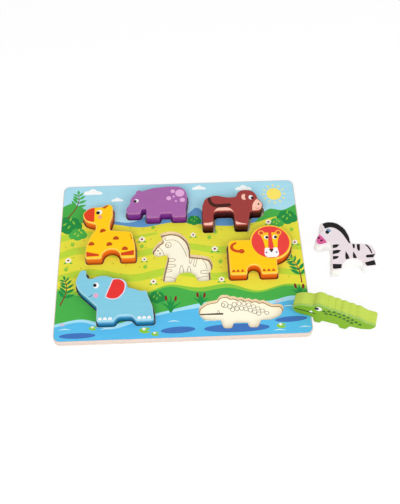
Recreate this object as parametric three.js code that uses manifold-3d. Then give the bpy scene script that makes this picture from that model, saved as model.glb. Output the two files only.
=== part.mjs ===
// Wooden animal puzzle: a two-layer board with seven animal pockets and seven chunky animals.
// Millimetres, +Z up. The origin is the middle of the board's underside, and +X runs along its length.
import * as THREE from "three";
import { mergeVertices } from "three/addons/utils/BufferGeometryUtils.js";
import loadManifold from "manifold-3d";

// Driving dimensions: the board
const boardLength = 300;
const boardDepth = 225;
const boardCornerRadius = 8;
const boardEdgeRound = 0.9;
const backingThickness = 4;
const cutoutThickness = 6;

// Driving dimensions: what the animals share
const animalThickness = 18;
const animalEdgeRound = 1.1;
const fitClearance = 1.4;
const toeRadius = 2;
const heelRadius = 1.8;
const chordError = 0.16;
const shortestEdge = 0.2;

// Driving dimensions: the animals, measured as they stand, facing left or right
const giraffeSize = {
  stance: 60,
  frontFoot: 19.2,
  rearFoot: 18,
  archHeight: 13,
  backHeight: 39,
  neckWidth: 17.5,
  headHeight: 76.8,
  muzzleReach: 7.2,
};
const hippoSize = {
  stance: 50.6,
  frontFoot: 17.2,
  rearFoot: 17.6,
  archHeight: 6.2,
  backHeight: 48.4,
  throatHeight: 14.6,
  muzzleReach: 25.2,
};
const monkeySize = {
  stance: 56,
  frontFoot: 15.8,
  rearFoot: 13,
  archHeight: 22,
  backHeight: 48,
  headHeight: 55,
  headWidth: 24.8,
  muzzleReach: 22,
};
const lionSize = {
  stance: 57.5,
  frontFoot: 20.3,
  rearFoot: 20.8,
  archHeight: 13,
  backHeight: 49.3,
  maneRadius: 25.5,
  maneHeight: 44.8,
  maneSetBack: 5.3,
};
const elephantSize = {
  stance: 66,
  frontFoot: 19.5,
  rearFoot: 20.5,
  archHeight: 6.8,
  backHeight: 42,
  chestHeight: 20,
  headHeight: 62.5,
  trunkReach: 27,
};
const zebraSize = {
  stance: 55.5,
  frontFoot: 13,
  rearFoot: 13.8,
  archHeight: 12.6,
  backHeight: 34,
  headHeight: 70.6,
  muzzleReach: 12,
};
const crocodileSize = {
  stance: 38,
  frontFoot: 7.6,
  rearFoot: 8.2,
  archHeight: 6.4,
  jawHeight: 10.5,
  legLean: 2.6,
  headHeight: 41.2,
  snoutReach: 27.4,
  tailReach: 31.2,
  scaleCount: 5,
  scaleHeight: 2.4,
};

// Driving dimensions: each pocket's mid-foot point, from the board's nearest edges or its middle
const giraffeFromLeft = 64.8;
const giraffeFromMiddle = -7.8;
const hippoFromMiddle = -17;
const hippoFromBack = 62.2;
const monkeyFromRight = 92.5;
const monkeyFromBack = 79.1;
const monkeyLiesLeft = 0.9;
const monkeyLiesBack = 0.9;
const lionFromRight = 63.3;
const lionFromMiddle = -37.2;
const elephantFromLeft = 83.8;
const elephantFromFront = 19;
const zebraFromMiddle = 6;
const zebraBehindMiddle = -36;
const crocodileFromRight = 83;
const crocodileFromFront = 12;

// Driving dimensions: the two animals that are out of their pockets, beside the board's right end
const zebraBesideBoard = 58.4;
const zebraFromFront = 81.2;
const zebraTurn = THREE.MathUtils.degToRad(4);
const crocodileGap = 0.8;
const crocodileFootFromFront = 22.5;
const crocodileTurn = THREE.MathUtils.degToRad(-18);

// A corner is [x, y, radius]: an outline is a closed ring of corners, listed anticlockwise.

/** Unit vector from corner a to corner b, with the distance between them. */
function edgeBetween(a, b) {
  const dx = b[0] - a[0];
  const dy = b[1] - a[1];
  const length = Math.hypot(dx, dy);
  return { x: dx / length, y: dy / length, length };
}

/** Corners whose radii are cut down to what their edges have room for. */
function fittedCorners(corners) {
  const count = corners.length;
  const edges = corners.map((corner, i) => edgeBetween(corner, corners[(i + 1) % count]));
  const turns = corners.map((corner, i) => {
    const before = edges[(i + count - 1) % count];
    const after = edges[i];
    return Math.atan2(before.x * after.y - before.y * after.x, before.x * after.x + before.y * after.y);
  });
  const reach = corners.map((corner, i) => corner[2] * Math.tan(Math.abs(turns[i]) / 2));
  return corners.map((corner, i) => {
    const previous = (i + count - 1) % count;
    const next = (i + 1) % count;
    const roomBefore = edges[previous].length / Math.max(reach[previous] + reach[i], 1e-9);
    const roomAfter = edges[i].length / Math.max(reach[next] + reach[i], 1e-9);
    const radius = corner[2] * Math.min(1, roomBefore, roomAfter);
    return { x: corner[0], y: corner[1], radius, turn: turns[i], before: edges[previous], after: edges[i] };
  });
}

/** The corners of the outline that lies a distance outside the given one. */
function grownCorners(corners, distance) {
  return fittedCorners(corners).map(({ x, y, radius, turn, before, after }) => {
    const miter = distance / (1 + before.x * after.x + before.y * after.y);
    const outX = before.y + after.y;
    const outY = -before.x - after.x;
    const grownRadius = turn > 0 ? radius + distance : Math.max(radius - distance, 0);
    return [x + outX * miter, y + outY * miter, grownRadius];
  });
}

/** A shape from corners, each rounded by an arc that is split into short chords. */
function roundedShape(corners) {
  const points = [];
  for (const { x, y, radius, turn, before, after } of fittedCorners(corners)) {
    if (radius < 0.01 || Math.abs(turn) < 0.01) {
      points.push(new THREE.Vector2(x, y));
      continue;
    }
    const side = Math.sign(turn);
    const reach = radius * Math.tan(Math.abs(turn) / 2);
    const centreX = x - before.x * reach - before.y * radius * side;
    const centreY = y - before.y * reach + before.x * radius * side;
    const start = Math.atan2(-before.x * side, before.y * side);
    const step = 2 * Math.acos(1 - Math.min(chordError / radius, 0.5));
    const chords = Math.max(2, Math.ceil(Math.abs(turn) / step));
    for (let i = 0; i <= chords; i += 1) {
      const angle = start + (turn * i) / chords;
      points.push(new THREE.Vector2(centreX + radius * Math.cos(angle), centreY + radius * Math.sin(angle)));
    }
  }
  const next = (i) => points[(i + 1) % points.length];
  const distinct = points.filter((point, i) => point.distanceTo(next(i)) > shortestEdge);
  return new THREE.Shape(distinct);
}

/** Corners of two feet on the ground line, with the arch between them, from left to right. */
function feet(stance, leftFoot, rightFoot, archHeight, archRadius, splay) {
  const left = -stance / 2;
  const right = stance / 2;
  return [
    [left, 0, toeRadius],
    [left + leftFoot, 0, heelRadius],
    [left + leftFoot + splay, archHeight, archRadius],
    [right - rightFoot - splay, archHeight, archRadius],
    [right - rightFoot, 0, heelRadius],
    [right, 0, toeRadius],
  ];
}

/** Corners that wrap a circle from one angle to another, to be rounded by the circle's own radius. */
function aroundCircle(centreX, centreY, radius, startAngle, endAngle, count) {
  const step = (endAngle - startAngle) / count;
  const cornerDistance = radius / Math.cos(step / 2);
  return Array.from({ length: count }, (unused, i) => {
    const angle = startAngle + step * (i + 0.5);
    return [centreX + cornerDistance * Math.cos(angle), centreY + cornerDistance * Math.sin(angle), radius];
  });
}

/** Giraffe, facing left, with its head turned up on a broad neck. */
function giraffeCorners(size) {
  const front = -size.stance / 2;
  const rear = size.stance / 2;
  const neckFront = front + 10.7;
  const neckRear = neckFront + size.neckWidth;
  const top = size.headHeight;
  return [
    ...feet(size.stance, size.frontFoot, size.rearFoot, size.archHeight, 11, 0),
    [rear - 0.4, 18, 20],
    [rear - 4.6, size.backHeight - 1.2, 4],
    [rear - 16, size.backHeight + 0.2, 30],
    [neckRear, size.backHeight + 1.8, 3],
    [neckRear - 0.4, size.backHeight + 10, 10],
    [neckRear + 3, top - 14, 12],
    [neckRear + 2.8, top + 2, 5],
    [neckRear - 3, top + 4.4, 3.5],
    [neckRear - 11, top, 5],
    [front + 1.5, top, 14],
    [front - size.muzzleReach, top - 10.5, 7],
    [front - 2.5, top - 21.5, 10],
    [neckFront, top - 26, 3],
    [neckFront, size.backHeight + 3.5, 8],
    [front + 5, size.backHeight - 5, 10],
    [front - 0.9, 14, 20],
  ];
}

/** Hippopotamus, facing left, with a low muzzle and one small ear. */
function hippoCorners(size) {
  const front = -size.stance / 2;
  const rear = size.stance / 2;
  const nose = front - size.muzzleReach;
  const top = size.backHeight;
  return [
    ...feet(size.stance, size.frontFoot, size.rearFoot, size.archHeight, 2.2, 1),
    [rear - 0.6, 13, 20],
    [rear + 2, 29, 20],
    [rear + 1.2, top, 15],
    [rear - 24, top + 0.2, 40],
    [rear - 43, top - 1.9, 22],
    [front - 5, top - 6.5, 3],
    [front - 8.6, top - 4.3, 2],
    [front - 12.6, top - 5.7, 2],
    [front - 13, top - 9.9, 3],
    [front - 19.3, top - 17.4, 8],
    [front - 20, top - 24.9, 8],
    [nose, size.throatHeight - 0.4, 5],
    [nose + 1.2, size.archHeight, 4.5],
    [front - 6.2, size.archHeight, 4],
    [front - 5.7, size.throatHeight, 2.5],
    [front + 0.9, size.throatHeight, 2.5],
  ];
}

/** Monkey on all fours, facing right, with a round head and a broad muzzle. */
function monkeyCorners(size) {
  const rear = -size.stance / 2;
  const front = size.stance / 2;
  const face = front + 14.8;
  const nape = face - size.headWidth;
  const top = size.headHeight;
  return [
    ...feet(size.stance, size.rearFoot, size.frontFoot, size.archHeight, 5.5, 1),
    [front + 2.6, 14, 12],
    [front + 4.2, 21, 2.5],
    [front + 18, 20.5, 7],
    [front + size.muzzleReach, 31.5, 8],
    [face, top - 13.6, 4],
    [face, top, size.headWidth],
    [nape, top, size.headWidth],
    [nape - 1.8, top - 10.8, 8],
    [nape - 12.5, top - 11.4, 20],
    [rear + 17, size.backHeight, 16],
    [rear + 4.3, size.backHeight - 4.6, 10],
    [rear, 31, 20],
  ];
}

/** Lion, facing right, with a round mane that stands over its body. */
function lionCorners(size) {
  const rear = -size.stance / 2;
  const front = size.stance / 2;
  const maneX = front - size.maneSetBack;
  const chestDrop = Math.sqrt(size.maneRadius ** 2 - size.maneSetBack ** 2);
  const backRise = size.backHeight - size.maneHeight;
  const backReach = Math.sqrt(size.maneRadius ** 2 - backRise ** 2);
  const chestAngle = Math.atan2(-chestDrop, size.maneSetBack);
  const backAngle = Math.atan2(backRise, -backReach);
  return [
    ...feet(size.stance, size.rearFoot, size.frontFoot, size.archHeight, 8, 0),
    [front, size.maneHeight - chestDrop, 0],
    ...aroundCircle(maneX, size.maneHeight, size.maneRadius, chestAngle, backAngle, 5),
    [maneX - backReach, size.backHeight, 0],
    [rear, size.backHeight, 5],
  ];
}

/** Elephant, facing left, with its trunk raised and its ear standing over its back. */
function elephantCorners(size) {
  const front = -size.stance / 2;
  const rear = size.stance / 2;
  const top = size.headHeight;
  return [
    ...feet(size.stance, size.frontFoot, size.rearFoot, size.archHeight, 6, 5),
    [rear - 1.2, 17, 30],
    [rear - 7.5, size.backHeight - 8, 6],
    [rear - 8, size.backHeight - 2.8, 2],
    [rear - 15, size.backHeight - 3.4, 3],
    [rear - 23, size.backHeight, 15],
    [rear - 31, size.backHeight + 2.2, 2.5],
    [rear - 31.4, top - 6.2, 11],
    [front + 18.5, top - 5.2, 4],
    [front + 6.5, top + 0.6, 20],
    [front - 11.5, top - 6.6, 5],
    [front - 15, top + 1.2, 4],
    [front - 13.6, top + 6, 1.8],
    [front - 20.4, top + 9, 4.5],
    [front - size.trunkReach, top - 9, 14],
    [front - 23, size.backHeight + 1, 25],
    [front - 0.3, size.chestHeight, 2.5],
  ];
}

/** Zebra, facing left, with an upright mane and a hanging tail. */
function zebraCorners(size) {
  const front = -size.stance / 2;
  const rear = size.stance / 2;
  const back = size.backHeight;
  const top = size.headHeight;
  return [
    ...feet(size.stance, size.frontFoot, size.rearFoot, size.archHeight, 12, 1.5),
    [rear - 0.7, 13, 3],
    [rear + 2, 15, 2],
    [rear + 3.2, 20.5, 6],
    [rear + 0.4, back - 3.2, 7],
    [rear - 10, back - 0.6, 12],
    [front + 31.2, back + 1.4, 2.5],
    [front + 32, back + 11, 20],
    [front + 29, top - 12.5, 15],
    [front + 19.8, top - 1.8, 15],
    [front + 8.5, top + 0.2, 12],
    [front - 2.2, top - 2.6, 1.2],
    [front + 1.6, top - 11.2, 2.5],
    [front - 6, top - 17.2, 14],
    [front - size.muzzleReach - 0.2, top - 26.5, 6],
    [front - size.muzzleReach + 2, top - 34.6, 5],
    [front - 4, top - 33.6, 6],
    [front + 6.2, top - 31.2, 2.5],
    [front + 7, back - 1, 10],
    [front + 3.2, 17, 30],
  ];
}

/** Crocodile, facing left, with a raised eye and a row of scales along its back. */
function crocodileCorners(size) {
  const front = -size.stance / 2;
  const rear = size.stance / 2;
  const top = size.headHeight;
  const snout = front - size.snoutReach;
  const tail = rear + size.tailReach;
  const scaleStart = [tail - 17.5, top - 11.6];
  const scaleEnd = [front + 8.4, top - 3.4];
  const scales = [];
  for (let i = 0; i < size.scaleCount; i += 1) {
    const valley = i / size.scaleCount;
    const peak = (i + 0.5) / size.scaleCount;
    const run = scaleEnd[0] - scaleStart[0];
    const rise = scaleEnd[1] - scaleStart[1];
    scales.push([scaleStart[0] + run * valley, scaleStart[1] + rise * valley, 0.6]);
    scales.push([scaleStart[0] + run * peak, scaleStart[1] + rise * peak + size.scaleHeight, 3]);
  }
  return [
    ...feet(size.stance, size.frontFoot, size.rearFoot, size.archHeight, 2.2, 1.5),
    [rear + 3.5, size.archHeight + 2.8, 2.5],
    [tail - 14.5, size.archHeight + 3, 12],
    [tail - 4, 14, 8],
    [tail, 22, 4],
    [tail - 1.8, 26.4, 2.2],
    [tail - 12, 26.4, 10],
    ...scales,
    [...scaleEnd, 1.5],
    [front + 6, top, 4],
    [front - 2, top, 5],
    [front - 6, top - 6.4, 3],
    [front - 19, top - 8.6, 12],
    [snout, top - 15.7, 6],
    [snout - 0.2, top - 22.6, 4],
    [snout + 3.6, size.jawHeight + 1.8, 6],
    [front - 17, size.jawHeight + 0.4, 15],
    [front - size.legLean, size.jawHeight, 2.5],
  ];
}

// The seven animals: outline, colour, pocket place and how far aside it lies in the pocket
const leftEdge = -boardLength / 2;
const rightEdge = boardLength / 2;
const frontEdge = -boardDepth / 2;
const backEdge = boardDepth / 2;
const boardTop = backingThickness + cutoutThickness;

const animals = [
  {
    name: "giraffe",
    corners: giraffeCorners(giraffeSize),
    colour: "#f7b916",
    pocket: [leftEdge + giraffeFromLeft, giraffeFromMiddle],
  },
  {
    name: "hippo",
    corners: hippoCorners(hippoSize),
    colour: "#9a5fa3",
    pocket: [hippoFromMiddle, backEdge - hippoFromBack],
  },
  {
    name: "monkey",
    corners: monkeyCorners(monkeySize),
    colour: "#8c3633",
    pocket: [rightEdge - monkeyFromRight, backEdge - monkeyFromBack],
    aside: [-monkeyLiesLeft, monkeyLiesBack],
  },
  {
    name: "lion",
    corners: lionCorners(lionSize),
    colour: "#f4a81c",
    pocket: [rightEdge - lionFromRight, lionFromMiddle],
  },
  {
    name: "elephant",
    corners: elephantCorners(elephantSize),
    colour: "#79c3e0",
    pocket: [leftEdge + elephantFromLeft, frontEdge + elephantFromFront],
  },
  {
    name: "zebra",
    corners: zebraCorners(zebraSize),
    colour: "#ece4ea",
    pocket: [zebraFromMiddle, zebraBehindMiddle],
  },
  {
    name: "crocodile",
    corners: crocodileCorners(crocodileSize),
    colour: "#8dba24",
    pocket: [rightEdge - crocodileFromRight, frontEdge + crocodileFromFront],
  },
];

// Solids that are cut from one another
const manifold = await loadManifold();
manifold.setup();

/** A three.js geometry as a manifold solid. */
function solidFrom(geometry) {
  const loose = geometry.index ? geometry.toNonIndexed() : geometry;
  const bare = new THREE.BufferGeometry();
  bare.setAttribute("position", loose.getAttribute("position"));
  const merged = mergeVertices(bare, 1e-4);
  const mesh = new manifold.Mesh({
    numProp: 3,
    vertProperties: new Float32Array(merged.getAttribute("position").array),
    triVerts: new Uint32Array(merged.getIndex().array),
  });
  mesh.merge();
  return new manifold.Manifold(mesh);
}

/** A manifold solid as a three.js geometry. */
function geometryFrom(solid) {
  const mesh = solid.getMesh();
  const geometry = new THREE.BufferGeometry();
  geometry.setAttribute("position", new THREE.BufferAttribute(mesh.vertProperties, 3));
  geometry.setIndex(new THREE.BufferAttribute(mesh.triVerts, 1));
  geometry.computeVertexNormals();
  return geometry;
}

/** A slab of the shape's outline between two heights, with its edges rounded over. */
function roundedSlab(shape, bottom, top, edgeRound) {
  const geometry = new THREE.ExtrudeGeometry(shape, {
    depth: top - bottom - 2 * edgeRound,
    bevelEnabled: true,
    bevelThickness: edgeRound,
    bevelSize: edgeRound,
    bevelOffset: -edgeRound,
    bevelSegments: 2,
    curveSegments: 1,
  });
  return geometry.translate(0, 0, bottom + edgeRound);
}

/** A slab of the shape's outline between two heights, with square edges. */
function squareSlab(shape, bottom, top) {
  const geometry = new THREE.ExtrudeGeometry(shape, {
    depth: top - bottom,
    bevelEnabled: false,
    curveSegments: 1,
  });
  return geometry.translate(0, 0, bottom);
}

/** A box over the whole board between two heights. */
function boardSlice(bottom, top) {
  const geometry = new THREE.BoxGeometry(boardLength * 2, boardDepth * 2, top - bottom);
  return solidFrom(geometry.translate(0, 0, (bottom + top) / 2));
}

/** A named mesh with its own paint. */
function paintedMesh(name, geometry, colour, roughness) {
  const material = new THREE.MeshStandardMaterial({ color: colour, roughness, metalness: 0 });
  const mesh = new THREE.Mesh(geometry, material);
  mesh.name = name;
  return mesh;
}

// The board: a blank with rounded edges, parted at the glue line, with pockets through its upper layer
const boardShape = roundedShape([
  [leftEdge, frontEdge, boardCornerRadius],
  [rightEdge, frontEdge, boardCornerRadius],
  [rightEdge, backEdge, boardCornerRadius],
  [leftEdge, backEdge, boardCornerRadius],
]);
const blank = solidFrom(roundedSlab(boardShape, 0, boardTop, boardEdgeRound));
const backing = blank.subtract(boardSlice(backingThickness, boardTop + 1));
let cutout = blank.subtract(boardSlice(-1, backingThickness));
for (const { corners, pocket } of animals) {
  const opening = squareSlab(roundedShape(grownCorners(corners, fitClearance)), 0, boardTop + 1);
  cutout = cutout.subtract(solidFrom(opening.translate(pocket[0], pocket[1], 0)));
}

const puzzle = new THREE.Group();
puzzle.add(paintedMesh("backing_board", geometryFrom(backing), "#e3c79d", 0.7));
puzzle.add(paintedMesh("cutout_board", geometryFrom(cutout), "#b9cf52", 0.5));

// The animals: five in their pockets, the zebra lying beside the board and the crocodile standing by it
const crocodileHalfStance = crocodileSize.stance / 2 + crocodileSize.legLean;
const crocodileReach =
  Math.cos(crocodileTurn) * crocodileHalfStance - (Math.sin(crocodileTurn) * animalThickness) / 2;
const outOfPocket = {
  zebra: {
    position: [rightEdge + zebraBesideBoard, frontEdge + zebraFromFront, 0],
    turn: zebraTurn,
    standing: false,
  },
  crocodile: {
    position: [rightEdge + crocodileGap + crocodileReach, frontEdge + crocodileFootFromFront, 0],
    turn: crocodileTurn,
    standing: true,
  },
};

for (const { name, corners, colour, pocket, aside = [0, 0] } of animals) {
  const slab = roundedSlab(roundedShape(corners), 0, animalThickness, animalEdgeRound);
  const mesh = paintedMesh(name, slab, colour, 0.45);
  const place = new THREE.Group();
  const loose = outOfPocket[name];
  if (loose === undefined) {
    place.position.set(pocket[0] + aside[0], pocket[1] + aside[1], backingThickness);
  } else {
    place.position.set(...loose.position);
    place.rotation.z = loose.turn;
    if (loose.standing) {
      mesh.rotation.x = Math.PI / 2;
      mesh.position.y = animalThickness / 2;
    }
  }
  place.add(mesh);
  puzzle.add(place);
}

export default puzzle;
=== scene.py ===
"""Looks of the wooden animal puzzle: a printed board, bare pockets and seven painted animals."""

import logging
import math
from dataclasses import dataclass
from enum import Enum

import bpy
import numpy as np
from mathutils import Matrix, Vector
from mathutils.geometry import delaunay_2d_cdt


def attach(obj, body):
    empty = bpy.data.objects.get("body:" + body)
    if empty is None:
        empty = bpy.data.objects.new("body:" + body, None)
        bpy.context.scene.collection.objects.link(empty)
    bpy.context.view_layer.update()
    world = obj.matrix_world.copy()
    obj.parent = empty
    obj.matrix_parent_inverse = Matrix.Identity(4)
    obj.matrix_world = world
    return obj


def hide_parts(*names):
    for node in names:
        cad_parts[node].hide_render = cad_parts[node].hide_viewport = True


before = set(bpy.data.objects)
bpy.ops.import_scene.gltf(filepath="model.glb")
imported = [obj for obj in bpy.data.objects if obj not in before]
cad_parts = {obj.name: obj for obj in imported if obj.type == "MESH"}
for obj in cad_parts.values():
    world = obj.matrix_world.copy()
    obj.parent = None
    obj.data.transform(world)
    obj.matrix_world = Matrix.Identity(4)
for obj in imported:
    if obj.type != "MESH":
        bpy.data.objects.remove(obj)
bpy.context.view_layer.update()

LOG = logging.getLogger("animal_puzzle")

# Metres in a millimetre: every size below is in mm, and the meshes are in metres
MM = 0.001
# Points of a printed face, or of a back, that lie nearer to each other than this become one
MERGE = 0.004
BACK_MERGE = 1e-7
# Choice of the Delaunay cutter that gives only the triangles inside an outline
INSIDE_ONLY = 1
# Points within these heights of a solid's top, or of its feet, count as lying there
TOP_BAND = 0.02
FOOT_BAND = 0.05
# Rings of an edge's rounding, counted from the face, where handling rubs the paint
WORN_RINGS = (1, 2, 3)

Points = np.ndarray
Corner = tuple[float, float, float]
Spot = tuple[float, float]


class Ink(Enum):
    """Paints and printing inks of the toy, as sRGB hex colours; BARE leaves the wood showing."""

    BARE = ""
    WHITE = "#F6F3F2"
    BLACK = "#0E0B0A"
    LINE = "#8E7A66"
    DARK_LINE = "#3D2820"
    LOOP_LINE = "#7A6C5F"
    # Brown line at the foot of a pocket wall: partly a drawn line, partly painted shade where wall and floor
    # meet
    WALL_LINE_AND_SHADE = "#83664F"
    GIRAFFE_FACE = "#FFCB0A"
    GIRAFFE_SIDE = "#FB7420"
    GIRAFFE_SPOT = "#BC4804"
    GIRAFFE_MUZZLE = "#E03E18"
    GIRAFFE_HOOF = "#D2420F"
    GIRAFFE_CHEEK = "#F2A07C"
    HIPPO_FACE = "#A765A6"
    HIPPO_SIDE = "#842E98"
    HIPPO_SPOT = "#E4ADDA"
    MONKEY_FACE = "#9C3A37"
    MONKEY_SIDE = "#4C1914"
    MONKEY_SKIN = "#FBC3AD"
    MONKEY_TAIL = "#3E1408"
    MONKEY_SMILE = "#D07A70"
    LION_FACE = "#FFC907"
    LION_SIDE = "#EE6612"
    LION_MANE = "#E8403A"
    LION_TRIM = "#CB4A10"
    LION_EAR = "#FFAC48"
    LION_NOSE = "#3A1410"
    LION_FRECKLE = "#8A6696"
    ELEPHANT_FACE = "#81C7DD"
    ELEPHANT_SIDE = "#2282B0"
    ELEPHANT_EAR = "#E4322F"
    ELEPHANT_RIM = "#E6DCEA"
    ELEPHANT_CHEEK = "#E3A6C6"
    ELEPHANT_SMILE = "#2B4A6B"
    ZEBRA_FACE = "#E8DBE0"
    ZEBRA_SIDE = "#FCFAFB"
    ZEBRA_MUZZLE = "#D65C96"
    ZEBRA_NOSTRIL = "#4E0A26"
    ZEBRA_EYE = "#7C9CBC"
    CROCODILE_FACE = "#7DAD06"
    CROCODILE_SIDE = "#BDD354"
    CROCODILE_SCALE = "#1F5D00"
    CROCODILE_MOUTH = "#37480C"
    MEADOW = "#E2DD3F"
    MEADOW_TICK = "#BDB82A"
    LIME = "#B9D63A"
    GRASS = "#8AC53C"
    LEAF = "#46AC47"
    DEEP_LEAF = "#1E8A40"
    STEM = "#7D1A22"
    SKY = "#A9DCEC"
    HAZE = "#D4EEF2"
    CLOUD = "#FAFCFB"
    SUN = "#FBE468"
    FAR_HILL = "#5E97C8"
    SHALLOW = "#A5DDF0"
    WATER = "#57B9E6"
    DEEP_WATER = "#3F70B6"
    PEBBLE = "#C9BFD2"
    PETAL = "#F7F0E4"


INKS: tuple[Ink, ...] = tuple(Ink)


def linear(shade: str) -> tuple[float, float, float]:
    """Turns an sRGB hex colour into linear red, green and blue.

    Args:
        shade: A colour such as "#FFCB0A".

    Returns:
        The three linear values from 0 to 1.
    """
    values = [int(shade[i : i + 2], 16) / 255 for i in (1, 3, 5)]
    red, green, blue = (v / 12.92 if v <= 0.04045 else ((v + 0.055) / 1.055) ** 2.4 for v in values)
    return red, green, blue


def opaque(shade: str) -> tuple[float, float, float, float]:
    """Gives a hex colour as linear RGBA for a colour socket."""
    return (*linear(shade), 1.0)


INK_VALUES = np.array([opaque(ink.value) if ink.value else (0.0, 0.0, 0.0, 0.0) for ink in INKS])


def spline(points: list[Spot], steps: int = 8) -> Points:
    """Carries a curve through points: cubics whose end slopes are half the chord between the neighbours.

    Args:
        points: The points on the way, in mm.
        steps: Samples in each stretch.

    Returns:
        The sampled open curve.
    """
    way = np.asarray(points, float)
    way = np.vstack([2 * way[0] - way[1], way, 2 * way[-1] - way[-2]])
    a, b, c, d = way[:-3, None], way[1:-2, None], way[2:-1, None], way[3:, None]
    t = np.linspace(0, 1, steps, endpoint=False)[None, :, None]
    bend = a - 2.5 * b + 2 * c - 0.5 * d
    twist = 1.5 * (b - c) + 0.5 * (d - a)
    curve = b + 0.5 * t * (c - a) + t**2 * bend + t**3 * twist
    return np.vstack([curve.reshape(-1, 2), way[-2]])


def evenly(line: Points, count: int) -> Points:
    """Places points along an open line, from end to end, with the same length of line between them.

    Args:
        line: The line's own points in mm.
        count: Number of points to place.

    Returns:
        The placed points.
    """
    length = np.concatenate([[0], np.cumsum(np.linalg.norm(np.diff(line, axis=0), axis=1))])
    place = np.linspace(0, length[-1], count)
    return np.stack([np.interp(place, length, line[:, i]) for i in (0, 1)], axis=1)


def rounded(corners: list[Corner], steps: int = 7) -> Points:
    """Softens each corner by the parabola that touches both edges a set reach away from it.

    Args:
        corners: Each corner's x, y and reach in mm; a reach takes no more than half of an edge.
        steps: Samples along each parabola.

    Returns:
        The closed outline.
    """
    data = np.asarray(corners, float)
    tip, reach = data[:, :2], data[:, 2]
    ahead = np.roll(tip, -1, 0) - tip
    length = np.linalg.norm(ahead, axis=1)
    heading = ahead / length[:, None]
    room = 0.499 * np.minimum(length, np.roll(length, 1))
    reach = np.clip(reach, 0.02, room)[:, None]
    start = tip - np.roll(heading, 1, 0) * reach
    end = tip + heading * reach
    t = np.linspace(0, 1, steps)[None, :, None]
    curve = (1 - t) ** 2 * start[:, None] + 2 * t * (1 - t) * tip[:, None] + t**2 * end[:, None]
    return curve.reshape(-1, 2)


def turned(points: Points, degrees: float) -> Points:
    """Turns points anticlockwise about the origin."""
    cos, sin = math.cos(math.radians(degrees)), math.sin(math.radians(degrees))
    return points @ np.array([[cos, sin], [-sin, cos]])


def ellipse(x: float, y: float, across: float, up: float = 0.0, turn: float = 0.0, steps: int = 40) -> Points:
    """Samples an ellipse: cosine along its first half-width, sine along its second, then turned.

    Args:
        x: Centre across, in mm.
        y: Centre up, in mm.
        across: First half-width.
        up: Second half-width; zero makes a circle.
        turn: Turn anticlockwise in degrees.
        steps: Samples round the ellipse.

    Returns:
        The closed outline.
    """
    angle = np.linspace(0, 2 * math.pi, steps, endpoint=False)
    flat = np.stack([across * np.cos(angle), (up or across) * np.sin(angle)], axis=1)
    return turned(flat, turn) + (x, y)


def dome(x: float, y: float, half: float, height: float, turn: float = 0.0) -> Points:
    """Samples a half-ellipse that stands on a flat base, its two lower corners softened.

    Args:
        x: Middle of the base across, in mm.
        y: Height of the base.
        half: Half-width of the base.
        height: Height of the crown over the base.
        turn: Turn anticlockwise in degrees.

    Returns:
        The closed outline.
    """
    soft = 0.25 * min(half, height)
    angle = np.linspace(0, math.pi, 25)
    crown = np.stack([half * np.cos(angle), soft + (height - soft) * np.sin(angle)], axis=1)
    heel, toe = half - 0.35 * soft, half - soft
    base = np.array([[-heel, 0.3 * soft], [-toe, 0], [toe, 0], [heel, 0.3 * soft]])
    return turned(np.vstack([crown, base]), turn) + (x, y)


def leaf(x: float, y: float, length: float, width: float, turn: float) -> Points:
    """Samples a pointed leaf: its half-width swells and closes as a sine along its length.

    Args:
        x: Foot across, in mm.
        y: Foot up.
        length: Length from foot to tip.
        width: Greatest width.
        turn: Heading of the tip, in degrees anticlockwise from the right.

    Returns:
        The closed outline.
    """
    along = np.linspace(0, 1, 11)
    edge = np.stack([length * along, 0.5 * width * np.sin(math.pi * along**0.85)], axis=1)
    return turned(np.vstack([edge * (1, -1), edge[-2:0:-1]]), turn) + (x, y)


def area(outline: Points) -> float:
    """Measures a closed outline's area, negative if it runs clockwise."""
    x, y = outline.T
    return 0.5 * float(np.sum(x * np.roll(y, -1) - y * np.roll(x, -1)))


def outward(outline: Points) -> Points:
    """Gives each point of a closed anticlockwise outline its unit normal, away from the inside.

    Args:
        outline: The outline's points in order.

    Returns:
        One normal for each point.
    """
    along = np.roll(outline, -1, 0) - np.roll(outline, 1, 0)
    along /= np.maximum(np.linalg.norm(along, axis=1, keepdims=True), 1e-9)
    return np.stack([along[:, 1], -along[:, 0]], axis=1)


def grown(outline: Points, distance: float) -> Points:
    """Moves a closed outline along its normals and drops the points that came nearer to it than the move.

    Args:
        outline: The outline, anticlockwise, in mm.
        distance: How far outwards, or inwards if negative.

    Returns:
        The moved outline, with no loops at sharp corners.
    """
    moved = outline + distance * outward(outline)
    ahead = np.roll(outline, -1, 0) - outline
    offset = moved[:, None] - outline
    share = np.clip((offset * ahead).sum(axis=2) / np.maximum((ahead**2).sum(axis=1), 1e-12), 0, 1)
    gap = np.linalg.norm(offset - share[..., None] * ahead, axis=2).min(axis=1)
    nearest = 0.97 * abs(distance)
    return moved[gap > nearest]


def ribbon(points: list[Spot], widths: list[float], steps: int = 8) -> Points:
    """Carries a width along a smooth curve: two edges half the width to each side, joined by half-circles.

    Args:
        points: Points that the middle line passes through, in mm.
        widths: Widths, spread evenly from the first point to the last.
        steps: Samples in each stretch of the middle line.

    Returns:
        The closed outline, anticlockwise.
    """
    middle = spline(points, steps)
    along = np.gradient(middle, axis=0)
    along /= np.linalg.norm(along, axis=1, keepdims=True)
    side = np.stack([along[:, 1], -along[:, 0]], axis=1)
    spread = np.linspace(0, 1, len(middle))
    half = 0.5 * np.interp(spread, np.linspace(0, 1, len(widths)), widths)[:, None]
    angle = np.linspace(-math.pi / 2, math.pi / 2, 9)[1:-1, None]
    tip = middle[-1] + half[-1] * (np.cos(angle) * along[-1] - np.sin(angle) * side[-1])
    tail = middle[0] + half[0] * (-np.cos(angle) * along[0] + np.sin(angle) * side[0])
    return np.vstack([middle + half * side, tip, (middle - half * side)[::-1], tail])


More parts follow.
